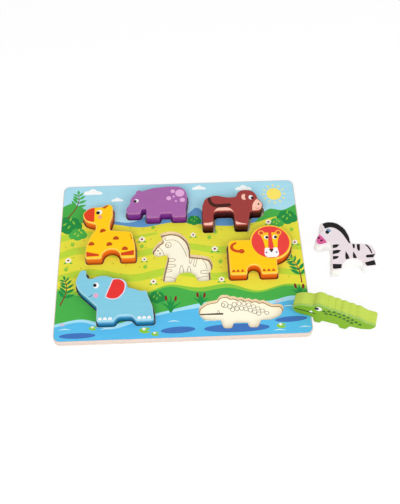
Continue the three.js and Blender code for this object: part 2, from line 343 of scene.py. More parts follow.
def hoop(x: float, y: float, across: float, up: float, width: float) -> Points:
    """Draws an ellipse as a line: a width carried from 95 to 448 degrees, almost all the way round it.

    Args:
        x: Centre across, in mm.
        y: Centre up.
        across: First half-width.
        up: Second half-width.
        width: Width of the line.

    Returns:
        The line's closed outline.
    """
    angle = np.radians(np.linspace(95, 448, 25))
    way = np.stack([x + across * np.cos(angle), y + up * np.sin(angle)], axis=1)
    return ribbon(way.tolist(), [width], 2)


def under(crest: list[Spot], foot: float) -> Points:
    """Closes a smooth crest line down to a level foot, or up to one that lies above it.

    Args:
        crest: Points on the crest from left to right, in mm.
        foot: Height of the level edge.

    Returns:
        The closed outline, anticlockwise.
    """
    line = spline(crest)
    shape = np.vstack([line, [line[-1, 0], foot], [line[0, 0], foot]])
    return shape[::-1] if foot < line[:, 1].min() else shape


@dataclass(frozen=True)
class Motif:
    """One flat patch of ink on a face, painted over the patches before it."""

    ink: Ink
    outline: Points


def patches(ink: Ink, *outlines: Points) -> list[Motif]:
    """Makes a motif of one ink from each outline, turned to run anticlockwise."""
    return [Motif(ink, outline if area(outline) > 0 else outline[::-1]) for outline in outlines]


def strokes(motifs: list[Motif], width: float, broad: float = 1.7) -> list[Motif]:
    """Redraws motifs as thin lines: a patch of line ink, with a smaller bare patch over it if it is broad.

    Args:
        motifs: The patches to draw round.
        width: Width of the line in mm.
        broad: Least breadth, in widths of the line, of a patch that is drawn hollow.

    Returns:
        The patches in painting order.
    """
    drawn: list[Motif] = []
    for motif in motifs:
        drawn += patches(Ink.LINE, motif.outline)
        around = np.linalg.norm(np.diff(motif.outline, axis=0, append=motif.outline[:1]), axis=1).sum()
        if 2 * area(motif.outline) / around >= broad * width:
            drawn += patches(Ink.BARE, grown(motif.outline, -width))
    return drawn


def rim_edges(triangles: np.ndarray) -> np.ndarray:
    """Finds the directed edges that only one triangle uses.

    Args:
        triangles: Vertex indices, three to a row.

    Returns:
        The edges as start and end indices, with the faces on their left.
    """
    edges = triangles[:, [[0, 1], [1, 2], [2, 0]]].reshape(-1, 2).astype(np.int64)
    count = int(triangles.max()) + 1
    return edges[~np.isin(edges[:, 0] * count + edges[:, 1], edges[:, 1] * count + edges[:, 0])]


def chained(edges: np.ndarray) -> list[np.ndarray]:
    """Joins directed edges end to start into closed loops.

    Args:
        edges: Start and end indices, one edge to a row.

    Returns:
        The vertex indices of each loop in order.
    """
    ahead = dict(edges.tolist())
    loops = []
    while ahead:
        start, here = ahead.popitem()
        loop = [start]
        while here != start:
            loop.append(here)
            here = ahead.pop(here)
        loops.append(np.array(loop))
    return loops


def eased(outline: Points, spacing: float, softness: float) -> Points:
    """Samples a closed outline evenly and smooths it by a bell-shaped average along its length.

    Args:
        outline: The outline's corner points in mm.
        spacing: Distance between samples.
        softness: Width of the bell curve.

    Returns:
        The smoothed outline.
    """
    closed = np.vstack([outline, outline[:1]])
    length = np.linalg.norm(np.diff(closed, axis=0), axis=1).sum()
    count = int(length / spacing)
    even = evenly(closed, count + 1)[:-1]
    place = np.linspace(0, length, count, endpoint=False)
    offset = np.minimum(place, length - place)
    bell = np.exp(-0.5 * (offset / softness) ** 2)
    spectrum = np.fft.fft(bell / bell.sum())[:, None]
    return np.real(np.fft.ifft(np.fft.fft(even, axis=0) * spectrum, axis=0))


def spans(lengths: list[int]) -> list[list[int]]:
    """Numbers the points of several outlines one after another, a list to an outline."""
    starts = np.cumsum([0, *lengths]).tolist()
    return [list(range(a, b)) for a, b in zip(starts[:-1], starts[1:])]


@dataclass(frozen=True)
class Face:
    """A flat face cut into triangles along the borders of its inks."""

    points: Points
    triangles: np.ndarray
    inks: np.ndarray

    @classmethod
    def printed(cls, outer: Points, holes: list[Points], ground: Ink, motifs: list[Motif]) -> "Face":
        """Cuts the face by a constrained Delaunay mesh, each triangle in the ink of the last patch over it.

        Args:
            outer: The face's outline, anticlockwise.
            holes: Outlines of openings in it.
            ground: Ink where no patch lies.
            motifs: Patches in painting order.

        Returns:
            The printed face.
        """
        outlines = [outer, *holes, *(motif.outline for motif in motifs)]
        places = [Vector(place) for place in np.vstack(outlines).tolist()]
        rings = spans([len(line) for line in outlines])
        points, _, faces, _, _, owners = delaunay_2d_cdt(places, [], rings, INSIDE_ONLY, MERGE)
        first = 1 + len(holes)
        inks = [INKS.index(ground)] * first + [INKS.index(motif.ink) for motif in motifs]
        kept = [i for i, over in enumerate(owners)
                if 0 in over and not any(0 < ring < first for ring in over)]
        triangles = np.array([faces[i] for i in kept])
        shown = np.array([inks[max(owners[i])] for i in kept])
        used, index = np.unique(triangles, return_inverse=True)
        return cls(np.array([tuple(p) for p in points])[used], index.reshape(-1, 3), shown)


@dataclass(frozen=True)
class Seat:
    """Place of a piece: its own axes as columns, and the point of its own frame where its outline starts."""

    axes: np.ndarray
    start: np.ndarray

    @classmethod
    def of(cls, points: Points, turn: float, standing: bool) -> "Seat":
        """Finds a piece's seat: along its feet, up from its feet, and out through its printed face.

        Args:
            points: The solid's vertices in mm.
            turn: Turn about the upright, in degrees.
            standing: Whether the piece stands on its feet or lies on its back.

        Returns:
            The seat, with its origin midway between the outer toes, on the back face.
        """
        cos, sin = math.cos(math.radians(turn)), math.sin(math.radians(turn))
        flat = [[cos, sin, 0], [-sin, cos, 0], [0, 0, 1]]
        upright = [[cos, sin, 0], [0, 0, 1], [sin, -cos, 0]]
        axes = np.array(upright if standing else flat).T
        own = points @ axes
        low = own.min(axis=0)
        toes = own[own[:, 1] < low[1] + FOOT_BAND, 0]
        return cls(axes, np.array([(toes.min() + toes.max()) / 2, low[1], low[2]]))

    def inside(self, points: Points) -> Points:
        """Turns points of the shared frame into the piece's own."""
        return points @ self.axes - self.start

    def world(self, points: Points) -> Points:
        """Turns the piece's own points into the shared frame."""
        return (points + self.start) @ self.axes.T


# Seat of the board's panels, whose own frame is the shared one
LEVEL = Seat(np.eye(3), np.zeros(3))


def solid_points(name: str) -> tuple[Points, np.ndarray]:
    """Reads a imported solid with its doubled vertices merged.

    Args:
        name: The node's name.

    Returns:
        Its points in mm and its triangles.
    """
    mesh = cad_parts[name].data
    mesh.calc_loop_triangles()
    places = np.empty(len(mesh.vertices) * 3)
    mesh.vertices.foreach_get("co", places)
    corners = np.empty(len(mesh.loop_triangles) * 3, dtype=np.int32)
    mesh.loop_triangles.foreach_get("vertices", corners)
    points, index = np.unique(np.round(places.reshape(-1, 3) / MM, 3), axis=0, return_inverse=True)
    return points, index.reshape(-1)[corners].reshape(-1, 3)


def top_outlines(points: Points, triangles: np.ndarray) -> list[Points]:
    """Finds the closed borders of a solid's flat top face.

    Args:
        points: The solid's points in its own frame, in mm.
        triangles: Its triangles.

    Returns:
        The outlines, the one round the largest area first.
    """
    level = points[:, 2] > points[:, 2].max() - TOP_BAND
    cap = triangles[level[triangles].all(axis=1)]
    outlines = [points[loop, :2] for loop in chained(rim_edges(cap))]
    return sorted(outlines, key=lambda line: -abs(area(line)))


class Zone(Enum):
    """Parts of a slab's surface, in the order of its material slots."""

    FACE = 0
    SIDE = 1
    CUT = 2
    BACK = 3


@dataclass(frozen=True)
class Profile:
    """Section of a slab's edge from its face down to its back: a rounding, a straight wall and a rounding."""

    top: float
    bottom: float
    face_round: float
    back_round: float
    steps: int = 5
    wall_steps: int = 6

    def rings(self) -> tuple[np.ndarray, np.ndarray]:
        """Samples the section: a quarter-circle out of the face, the wall, a quarter-circle in to the back.

        Returns:
            How far each ring lies outside the face's border, and its height.
        """
        angle = np.linspace(0, math.pi / 2, self.steps + 1)
        high = self.top - self.face_round * (1 - np.cos(angle))
        low = self.bottom + self.back_round * (1 - np.sin(angle))
        wall = np.linspace(high[-1], low[0], self.wall_steps + 1)[1:-1]
        out = self.face_round * np.sin(angle)
        back = self.face_round - self.back_round * (1 - np.cos(angle))
        reach = np.concatenate([out, np.full(len(wall), self.face_round), back])
        height = np.concatenate([high, wall, low])
        kept = np.concatenate([[True], (np.abs(np.diff(reach)) + np.abs(np.diff(height))) > 1e-6])
        return reach[kept], height[kept]


@dataclass(frozen=True)
class SidePaint:
    """Paint down a slab's edge: a rim lightened as a painted highlight, the side colour, and a foot darkened
    as painted shade.

    Attributes:
        rim: Ink at the top of the edge.
        side: Ink further down.
        rim_depth: Depth at which the rim starts to fade, in mm.
        rim_fade: Depth over which it fades.
        rim_highlight: How far the rim is lightened towards white as a painted highlight, 0 to 1.
        foot_from: Depth at which the foot starts to darken.
        foot_fade: Depth over which it darkens.
        foot_shade: What is left of the side colour under the painted shade at the foot, 0 to 1.
    """

    rim: Ink
    side: Ink
    rim_depth: float = 0.6
    rim_fade: float = 1.5
    rim_highlight: float = 0.0
    foot_from: float = 5.0
    foot_fade: float = 9.0
    foot_shade: float = 0.5

    def shades(self, depth: np.ndarray) -> np.ndarray:
        """Mixes the colours by depth under the face, each change an S-shaped step.

        Args:
            depth: Depth of each ring in mm.

        Returns:
            One linear RGBA colour for each ring.
        """
        rim, side = INK_VALUES[INKS.index(self.rim)], INK_VALUES[INKS.index(self.side)]
        # Painted highlight: the rim's colour is lightened towards white along the top of the edge
        light = rim + self.rim_highlight * rim[3] * (1 - rim)
        change = np.clip((depth - self.rim_depth) / self.rim_fade, 0, 1)[:, None]
        foot = np.clip((depth - self.foot_from) / self.foot_fade, 0, 1)[:, None]
        change, foot = change**2 * (3 - 2 * change), foot**2 * (3 - 2 * foot)
        mixed = light + (side - light) * change
        # Painted shade: the side colour darkens towards the foot
        mixed[:, :3] *= 1 - (1 - self.foot_shade) * foot
        return mixed


@dataclass
class Slab:
    """A flat wooden piece: a printed face, edges carried round its borders, and a plain back.

    Attributes:
        name: The piece's name.
        face: Its printed face.
        outer: Section of its outer edge.
        cut: Section of the edges of its openings.
        paint: Paint down its edges.
    """

    name: str
    face: Face
    outer: Profile
    cut: Profile
    paint: SidePaint

    def build(self, seat: Seat, finishes: list[bpy.types.Material]) -> bpy.types.Object:
        """Makes the mesh: the edge profile swept along each border, closed by the face and the back.

        Args:
            seat: The piece's place.
            finishes: Materials for face, side, cut edge and back, in the order of Zone.

        Returns:
            The object at the origin, with its place in its mesh.
        """
        flat, cut = self.face.points, self.face.triangles
        points = [np.column_stack([flat, np.full(len(flat), self.outer.top)])]
        worn, count = [np.zeros(len(flat))], len(flat)
        parts = [(cut, Zone.FACE, np.repeat(INK_VALUES[self.face.inks], 3, axis=0))]
        borders, lowest = [], []
        for loop in chained(rim_edges(cut)):
            border = flat[loop]
            zone, profile = (Zone.SIDE, self.outer) if area(border) > 0 else (Zone.CUT, self.cut)
            reach, height = profile.rings()
            swept = border[None] + reach[1:, None, None] * outward(border)[None]
            tall = np.broadcast_to(height[1:, None, None], (*swept.shape[:2], 1))
            points.append(np.concatenate([swept, tall], axis=2).reshape(-1, 3))
            rubbed = np.isin(np.arange(1, len(reach)), WORN_RINGS).astype(float)
            worn.append(np.repeat(rubbed, len(loop)))
            added = count + np.arange(len(swept) * len(loop)).reshape(-1, len(loop))
            grid = np.vstack([loop, added])
            ahead = np.roll(grid, -1, axis=1)
            quads = np.stack([grid[:-1], grid[1:], ahead[1:], ahead[:-1]], axis=-1).reshape(-1, 4)
            shades = self.paint.shades(profile.top - height)
            corners = np.stack([shades[:-1], shades[1:], shades[1:], shades[:-1]], axis=1)
            parts.append((quads, zone, np.repeat(corners, len(loop), axis=0).reshape(-1, 4)))
            borders.append(border)
            lowest.append(grid[-1])
            count += added.size
        back = self.closed_back(borders, lowest)
        side = INK_VALUES[[INKS.index(self.paint.side)]]
        parts.append((back, Zone.BACK, np.repeat(side, back.size, axis=0)))
        return self.meshed(seat.world(np.vstack(points)) * MM, parts, np.concatenate(worn), finishes)

    @staticmethod
    def closed_back(borders: list[Points], lowest: list[np.ndarray]) -> np.ndarray:
        """Fills the lowest rings with triangles that look down, cut as the face's own borders are.

        Args:
            borders: The face's borders, in the order of the rings.
            lowest: Vertex indices of the lowest ring of each border.

        Returns:
            The triangles, with the slab's own vertex indices.
        """
        solid = [area(border) > 0 for border in borders]
        numbers = spans([len(part) for part in lowest])
        rings = [span if full else span[::-1] for span, full in zip(numbers, solid)]
        flat = [Vector(place) for place in np.vstack(borders).tolist()]
        _, _, faces, sources, _, owners = delaunay_2d_cdt(flat, [], rings, INSIDE_ONLY, BACK_MERGE)
        kept = [face for face, over in zip(faces, owners) if over and all(solid[ring] for ring in over)]
        index = np.concatenate(lowest)[np.array([source[0] for source in sources])]
        return index[np.array(kept)][:, ::-1]

    def meshed(self, places: Points, parts: list[tuple[np.ndarray, Zone, np.ndarray]], worn: np.ndarray,
               finishes: list[bpy.types.Material]) -> bpy.types.Object:
        """Puts the arrays into a mesh with its inks and edge wear as attributes.

        Args:
            places: Points in metres.
            parts: Triangles or quads, their zone, and the colour of each of their corners.
            worn: How far each point lies on a rounded edge, 0 to 1.
            finishes: The materials.

        Returns:
            The new object, linked to the scene.
        """
        mesh = bpy.data.meshes.new(self.name)
        sizes = np.concatenate([np.full(len(polygons), polygons.shape[1]) for polygons, _, _ in parts])
        corners = np.concatenate([polygons.ravel() for polygons, _, _ in parts])
        zones = np.concatenate([np.full(len(polygons), zone.value) for polygons, zone, _ in parts])
        starts = np.concatenate([[0], np.cumsum(sizes)[:-1]])
        mesh.vertices.add(len(places))
        mesh.vertices.foreach_set("co", places.ravel())
        mesh.loops.add(len(corners))
        mesh.loops.foreach_set("vertex_index", corners.astype(np.int32))
        mesh.polygons.add(len(sizes))
        mesh.polygons.foreach_set("loop_start", starts.astype(np.int32))
        mesh.polygons.foreach_set("loop_total", sizes.astype(np.int32))
        mesh.polygons.foreach_set("material_index", zones.astype(np.int32))
        mesh.polygons.foreach_set("use_smooth", np.isin(zones, (Zone.SIDE.value, Zone.CUT.value)))
        for finish in finishes:
            mesh.materials.append(finish)
        colours = mesh.attributes.new("ink", "FLOAT_COLOR", "CORNER")
        colours.data.foreach_set("color", np.vstack([shades for _, _, shades in parts]).ravel())
        wear = mesh.attributes.new("rim", "FLOAT", "POINT")
        wear.data.foreach_set("value", worn)
        mesh.update(calc_edges=True)
        mesh.validate(verbose=False)
        made = bpy.data.objects.new(self.name, mesh)
        bpy.context.scene.collection.objects.link(made)
        return made


def add(tree: bpy.types.NodeTree, kind: str, inputs: dict[str | int, object], output: str | int = 0,
        **settings: object) -> bpy.types.NodeSocket | None:
    """Adds a shader node, sets its properties, and sets or links its inputs.

    Args:
        tree: The node tree of a material or of the world.
        kind: The node type after "ShaderNode".
        inputs: Values or output sockets by input name or number.
        output: Name or number of the output that is wanted.
        **settings: The node's properties.

    Returns:
        That output socket, or None from a node without outputs.
    """
    made = tree.nodes.new("ShaderNode" + kind)
    for name, value in settings.items():
        setattr(made, name, value)
    for key, value in inputs.items():
        if isinstance(value, bpy.types.NodeSocket):
            tree.links.new(value, made.inputs[key])
        else:
            made.inputs[key].default_value = value
    return made.outputs[output] if len(made.outputs) else None


def blank(name: str) -> tuple[bpy.types.Material, bpy.types.NodeTree]:
    """Starts an empty node material.

    Args:
        name: The material's name.

    Returns:
        The material and its node tree.
    """
    material = bpy.data.materials.new(name)
    material.use_nodes = True
    material.node_tree.nodes.clear()
    return material, material.node_tree


@dataclass(frozen=True)
class InkedWood:
    """Wood under a thin film of sprayed paint or printed ink, through which grain and pores show faintly.

    Attributes:
        name: The material's name.
        pale: Colour of the early wood.
        dark: Colour of the late wood.
        grain_length: Length of a grain line in mm.
        grain_width: Its width, drawn about three times as wide as a real one so that it shows.
        film_grain: How far the grain darkens the film, 0 to 1.
        roughness: Roughness of the surface.
        wear: How much film is rubbed off along the edges, 0 to 1.
        sheen: Specular level.
        mottle_size: Size in mm of the soft clouds in the film.
        scuff_size: Size in mm of the rubbed places.
        relief: Height of the grain in mm.
    """

    name: str
    pale: str
    dark: str
    grain_length: float
    grain_width: float
    film_grain: float
    roughness: float
    wear: float
    sheen: float
    mottle_size: float = 14.0
    scuff_size: float = 3.0
    relief: float = 0.06

    def material(self) -> bpy.types.Material:
        """Builds the material: grain under the ink of the mesh's own attribute, rubbed thin along its edges.

        Returns:
            The material.
        """
        material, tree = blank(self.name)
        place = add(tree, "TexCoord", {}, "Object")
        across = 1 / (self.grain_width * MM)
        stretch = (1 / (self.grain_length * MM), across, across)
        along = add(tree, "Mapping", {"Vector": place, "Scale": stretch})
        grain = add(tree, "TexNoise", {"Vector": along, "Scale": 1.0, "Detail": 4.0, "Roughness": 0.6,
                                       "Distortion": 0.4})
        wood = add(tree, "Mix", {0: grain, 6: opaque(self.dark), 7: opaque(self.pale)}, 2, data_type="RGBA")
        mottle = add(tree, "TexNoise", {"Vector": place, "Scale": 1 / (self.mottle_size * MM), "Detail": 3.0})
        both = add(tree, "Math", {0: mottle, 1: 0.5, 2: grain}, operation="MULTIPLY_ADD")
        tone = add(tree, "MapRange", {"Value": both, "From Min": 0.5, "From Max": 1.0,
                                      "To Min": 1 - self.film_grain, "To Max": 1 + 0.5 * self.film_grain})
        ink = add(tree, "Attribute", {}, "Color", attribute_name="ink")
        film = add(tree, "VectorMath", {0: ink, "Scale": tone}, operation="SCALE")
        rim = add(tree, "Attribute", {}, "Fac", attribute_name="rim")
        scuff = add(tree, "TexNoise", {"Vector": place, "Scale": 1 / (self.scuff_size * MM), "Detail": 5.0})
        rubbed = add(tree, "MapRange", {"Value": scuff, "From Min": 0.52, "From Max": 0.7,
                                        "To Min": 0.0, "To Max": self.wear})
        bare = add(tree, "Math", {0: rubbed, 1: rim}, operation="MULTIPLY")
        cover = add(tree, "Math", {0: ink.node.outputs["Alpha"], 1: bare}, operation="SUBTRACT",
                    use_clamp=True)
        colour = add(tree, "Mix", {0: cover, 6: wood, 7: film}, 2, data_type="RGBA")
        gloss = add(tree, "MapRange", {"Value": mottle, "From Min": 0.3, "From Max": 0.7,
                                       "To Min": self.roughness - 0.05, "To Max": self.roughness + 0.06})
        relief = add(tree, "Bump", {"Strength": 0.25, "Distance": self.relief * MM, "Height": grain})
        shader = add(tree, "BsdfPrincipled", {"Base Color": colour, "Roughness": gloss, "Normal": relief,
                                              "IOR": 1.5, "Specular IOR Level": self.sheen})
        add(tree, "OutputMaterial", {"Surface": shader})
        return material


@dataclass(frozen=True)
class PlywoodEdge:
    """Sawn edge of birch plywood: veneers in turn along and across the grain, with dark glue lines between.

    Attributes:
        name: The material's name.
        long_grain: Colour of a veneer cut along its grain.
        end_grain: Colour of one cut across.
        glue: Colour of the glue lines.
        veneer: Thickness of a veneer in mm.
        roughness: Roughness of the surface.
        streak_length: Length of the saw's streaks in mm.
        streak_height: Their height.
        relief: Their depth.
    """

    name: str
    long_grain: str
    end_grain: str
    glue: str
    veneer: float
    roughness: float
    streak_length: float = 9.0
    streak_height: float = 0.5
    relief: float = 0.1

    def material(self) -> bpy.types.Material:
        """Builds the material: veneers by height, streaked along the board.

        Returns:
            The material.
        """
        material, tree = blank(self.name)
        place = add(tree, "TexCoord", {}, "Object")
        height = add(tree, "SeparateXYZ", {0: place}, 2)
        layer = add(tree, "Math", {0: height, 1: 1 / (2 * self.veneer * MM)}, operation="MULTIPLY")
        part = add(tree, "Math", {0: layer}, operation="FRACT")
        swap = add(tree, "MapRange", {"Value": part, "From Min": 0.46, "From Max": 0.54},
                   interpolation_type="SMOOTHSTEP")
        along = 1 / (self.streak_length * MM)
        fine = add(tree, "Mapping", {"Vector": place, "Scale": (along, along, 1 / (self.streak_height * MM))})
        streak = add(tree, "TexNoise", {"Vector": fine, "Scale": 1.0, "Detail": 4.0, "Roughness": 0.65})
        veneers = {0: swap, 6: opaque(self.long_grain), 7: opaque(self.end_grain)}
        wood = add(tree, "Mix", veneers, 2, data_type="RGBA")
        edge = add(tree, "Math", {0: part, 1: 0.5}, operation="PINGPONG")
        seam = add(tree, "MapRange", {"Value": edge, "From Min": 0.02, "From Max": 0.07,
                                      "To Min": 0.5, "To Max": 0.0})
        glued = add(tree, "Mix", {0: seam, 6: wood, 7: opaque(self.glue)}, 2, data_type="RGBA")
        tone = add(tree, "MapRange", {"Value": streak, "From Min": 0.25, "From Max": 0.75,
                                      "To Min": 0.84, "To Max": 1.08})
        colour = add(tree, "VectorMath", {0: glued, "Scale": tone}, operation="SCALE")
        relief = add(tree, "Bump", {"Strength": 0.35, "Distance": self.relief * MM, "Height": streak})
        shader = add(tree, "BsdfPrincipled", {"Base Color": colour, "Roughness": self.roughness,
                                              "Normal": relief, "IOR": 1.5})
        add(tree, "OutputMaterial", {"Surface": shader})
        return material


# Sprayed satin lacquer on basswood: an even film, a faint grain, pale wood where corners rub
PAINTED_BASSWOOD = InkedWood("painted_basswood", "#EBD2A8", "#D9B888", 26, 1.6, 0.06, 0.4, 0.3, 0.2)
# Inks printed on sanded birch veneer: matt, with the veneer's fine lines under them
PRINTED_VENEER = InkedWood("printed_veneer", "#F8EAD0", "#EED9B6", 60, 1.3, 0.06, 0.5, 0.45, 0.15)
# Bare sanded birch veneer of the pocket floors and the underside: creamy, dry, with faint long lines
BARE_VENEER = InkedWood("bare_veneer", "#FCFAE6", "#F5EED4", 70, 1.5, 0.06, 0.62, 0.0, 0.2)
# Sawn and sanded outer edge of the board: pale veneers with thin pinkish glue lines
BOARD_EDGE = PlywoodEdge("plywood_edge", "#E3D9CE", "#DDC7BB", "#D0A28B", 1.0, 0.6)
# Router-cut pocket walls: yellower than the outer edge, with browner glue lines from the cutter's heat
POCKET_EDGE = PlywoodEdge("pocket_edge", "#F3E2C2", "#EACFA8", "#B98968", 1.0, 0.65)


@dataclass
class Animal:
    """A thick painted animal: its node's outline, a printed face and painted sides.

    Attributes:
        name: The node's name.
        face_ink: Ground colour of the face.
        side_ink: Colour of the sides and the back.
        turn: Turn about the upright, in degrees.
        standing: Whether it stands on its feet or lies on its back.
        pocket: Middle of its feet in its empty pocket, in mm; None if it lies in its pocket.
        rim_highlight: How far the face's colour is lightened along the edge as a painted highlight, 0 to 1.
        rim_fade: Depth in mm over which it turns to the side colour.
        foot_shade: What is left of the side colour under the painted shade at the foot, 0 to 1.
        edge_round: Rounding of its edges in mm.
        spacing: Distance between samples of its outline.
        softness: Smoothing of its outline.
        ring: Width of the brown line along the foot of its pocket's wall, partly a drawn line and partly
            painted shade where wall and floor meet.
    """

    name: str
    face_ink: Ink
    side_ink: Ink
    turn: float = 0.0
    standing: bool = False
    pocket: Spot | None = None
    rim_highlight: float = 0.1
    rim_fade: float = 1.5
    foot_shade: float = 0.5
    edge_round: float = 1.1
    spacing: float = 0.55
    softness: float = 0.7
    ring: float = 1.0

    def marks(self) -> list[Motif]:
        """Lists the patches printed on the face, in mm from the middle of the feet."""
        return []

    def drawing(self, width: float) -> list[Motif]:
        """Lists the lines, of a width in mm, that are drawn for the animal on its pocket's floor."""
        return strokes(self.marks(), width)

    def border(self) -> tuple[Seat, Points]:
        """Finds the animal's seat and the smoothed border of its flat face.

        Returns:
            The seat, and the border in the animal's own frame.
        """
        points, triangles = solid_points(self.name)
        seat = Seat.of(points, self.turn, self.standing)
        return seat, eased(top_outlines(seat.inside(points), triangles)[0], self.spacing, self.softness)

    def build(self, paint: bpy.types.Material) -> bpy.types.Object:
        """Builds the animal over its solid and seats it there.

        Args:
            paint: The painted finish.

        Returns:
            The new piece.
        """
        seat, border = self.border()
        thickness = float(seat.inside(solid_points(self.name)[0])[:, 2].max())
        face = Face.printed(border, [], self.face_ink, self.marks())
        profile = Profile(thickness, 0.0, self.edge_round, self.edge_round)
        sides = SidePaint(self.face_ink, self.side_ink, rim_fade=self.rim_fade, rim_highlight=self.rim_highlight,
                          foot_shade=self.foot_shade)
        slab = Slab(self.name + "_painted", face, profile, profile, sides)
        piece = slab.build(seat, [paint] * len(Zone))
        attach(piece, self.name)
        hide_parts(self.name)
        return piece


class Giraffe(Animal):
    """Giraffe with a red muzzle, brown spots and red hooves."""

    def marks(self) -> list[Motif]:
        """Lists the giraffe's patches.

        Returns:
            The patches in painting order.
        """
        muzzle = rounded([(-21.5, 53.8, 1.2), (-21.5, 76, 1.2), (-30, 76, 4.5), (-35.9, 66.4, 6),
                          (-32.5, 56.4, 5)])
        front_hoof = rounded([(-30.6, 10.2, 1), (-30.2, 2.8, 1), (-14, 3.2, 0.8), (-13.8, 5.8, 0.8)])
        rear_hoof = rounded([(11, 6.4, 0.8), (12.8, 2.8, 0.8), (28.4, 3, 1), (28.4, 10.4, 1)])
        horn = rounded([(-12.6, 76.4, 1.2), (-9.4, 73.6, 1.4), (-3.9, 78.6, 1.4), (-7.2, 80.2, 1.2)])
        spots = [dome(-9.6, 38.2, 3.8, 5.2, 22), dome(-23.5, 18.8, 3.7, 5.4, 4),
                 dome(-1.3, 17.7, 3.7, 5.4, 12), dome(6.2, 26.2, 3.7, 5.2), dome(17.3, 10.6, 3.8, 5.2)]
        tail = ribbon([(23.4, 34.5), (24.6, 30), (25.4, 27)], [0.5, 0.7, 1.3])
        return [
            *patches(Ink.GIRAFFE_MUZZLE, muzzle),
            *patches(Ink.GIRAFFE_HOOF, front_hoof, rear_hoof),
            *patches(Ink.WHITE, ellipse(-15.4, 68.7, 3.5)),
            *patches(Ink.BLACK, ellipse(-17.2, 67.8, 2.45)),
            *patches(Ink.GIRAFFE_CHEEK, ellipse(-14.5, 61, 2.7)),
            *patches(Ink.GIRAFFE_SPOT, horn, *spots, tail),
        ]


class Hippo(Animal):
    """Hippo with lilac spots on its back."""

    def marks(self) -> list[Motif]:
        """Lists the hippo's patches.

        Returns:
            The patches in painting order.
        """
        spots = [(17.9, 36.8, 5.7), (9, 40, 2.8), (3.8, 29, 3.1), (10.2, 31.5, 1.4), (21, 25.8, 3.3),
                 (12.8, 24.3, 1.3)]
        return [
            *patches(Ink.HIPPO_SPOT, *(ellipse(x, y, radius) for x, y, radius in spots)),
            *patches(Ink.WHITE, ellipse(-37.3, 26.6, 2.7)),
            *patches(Ink.BLACK, ellipse(-38.9, 25.9, 1.95)),
        ]


class Monkey(Animal):
    """Monkey with a pink face, ear, belly and ankles, and its tail laid along its back."""

    def marks(self) -> list[Motif]:
        """Lists the monkey's patches.

        Returns:
            The patches in painting order.
        """
        belly = rounded([(-15.6, 15.8, 2), (-9, 15.5, 2), (9, 15.5, 2), (13, 16.6, 2), (8.8, 25.2, 3),
                         (3.6, 27.9, 3), (-9, 27.7, 3), (-13.2, 22.4, 3)])
        rear_ankle = rounded([(-27.7, 4.6, 1), (-27.7, -1, 0), (-14.9, -1, 0), (-14.9, 6.8, 1),
                              (-19.4, 4.9, 3)])
        front_ankle = rounded([(12.5, 6.8, 1), (12.5, -2, 0), (26.3, -2, 0), (26.3, 1.6, 1), (19.6, 3, 3),
                               (15, 4.7, 2)])
        ear = rounded([(27.8, 38.8, 0.8), (26.9, 43.4, 2), (27.8, 48, 0.8), (23.6, 47.6, 3), (22.2, 43.2, 3),
                       (23.8, 38.9, 3)])
        muzzle = rounded([(34.8, 18, 0.5), (50, 18, 1), (52, 30, 4), (46.6, 37, 4), (41.9, 39.6, 1.2),
                          (37.9, 35.4, 4), (35.3, 29.4, 4)])
        tail = ribbon([(-18.6, 43.8), (-17.9, 37.8), (-15, 33.3), (-10.4, 30.9), (-4.4, 30.7), (1.6, 31.1),
                       (6.2, 31.4)], [3.4, 4.6, 5.2, 5.6, 5])
        smile = ribbon([(39.5, 26.3), (40.6, 24.5), (42.4, 24.2), (44.2, 25.6)], [0.7, 0.9, 0.7])
        return [
            *patches(Ink.MONKEY_SKIN, belly, rear_ankle, front_ankle, ear, muzzle),
            *patches(Ink.MONKEY_TAIL, tail),
            *patches(Ink.WHITE, ellipse(34.4, 42.4, 2.7, 3.4)),
            *patches(Ink.BLACK, ellipse(36.2, 41.5, 1.95)),
            *patches(Ink.MONKEY_TAIL, ellipse(43.6, 31.4, 1.2, 1.4)),
            *patches(Ink.MONKEY_SMILE, smile),
        ]


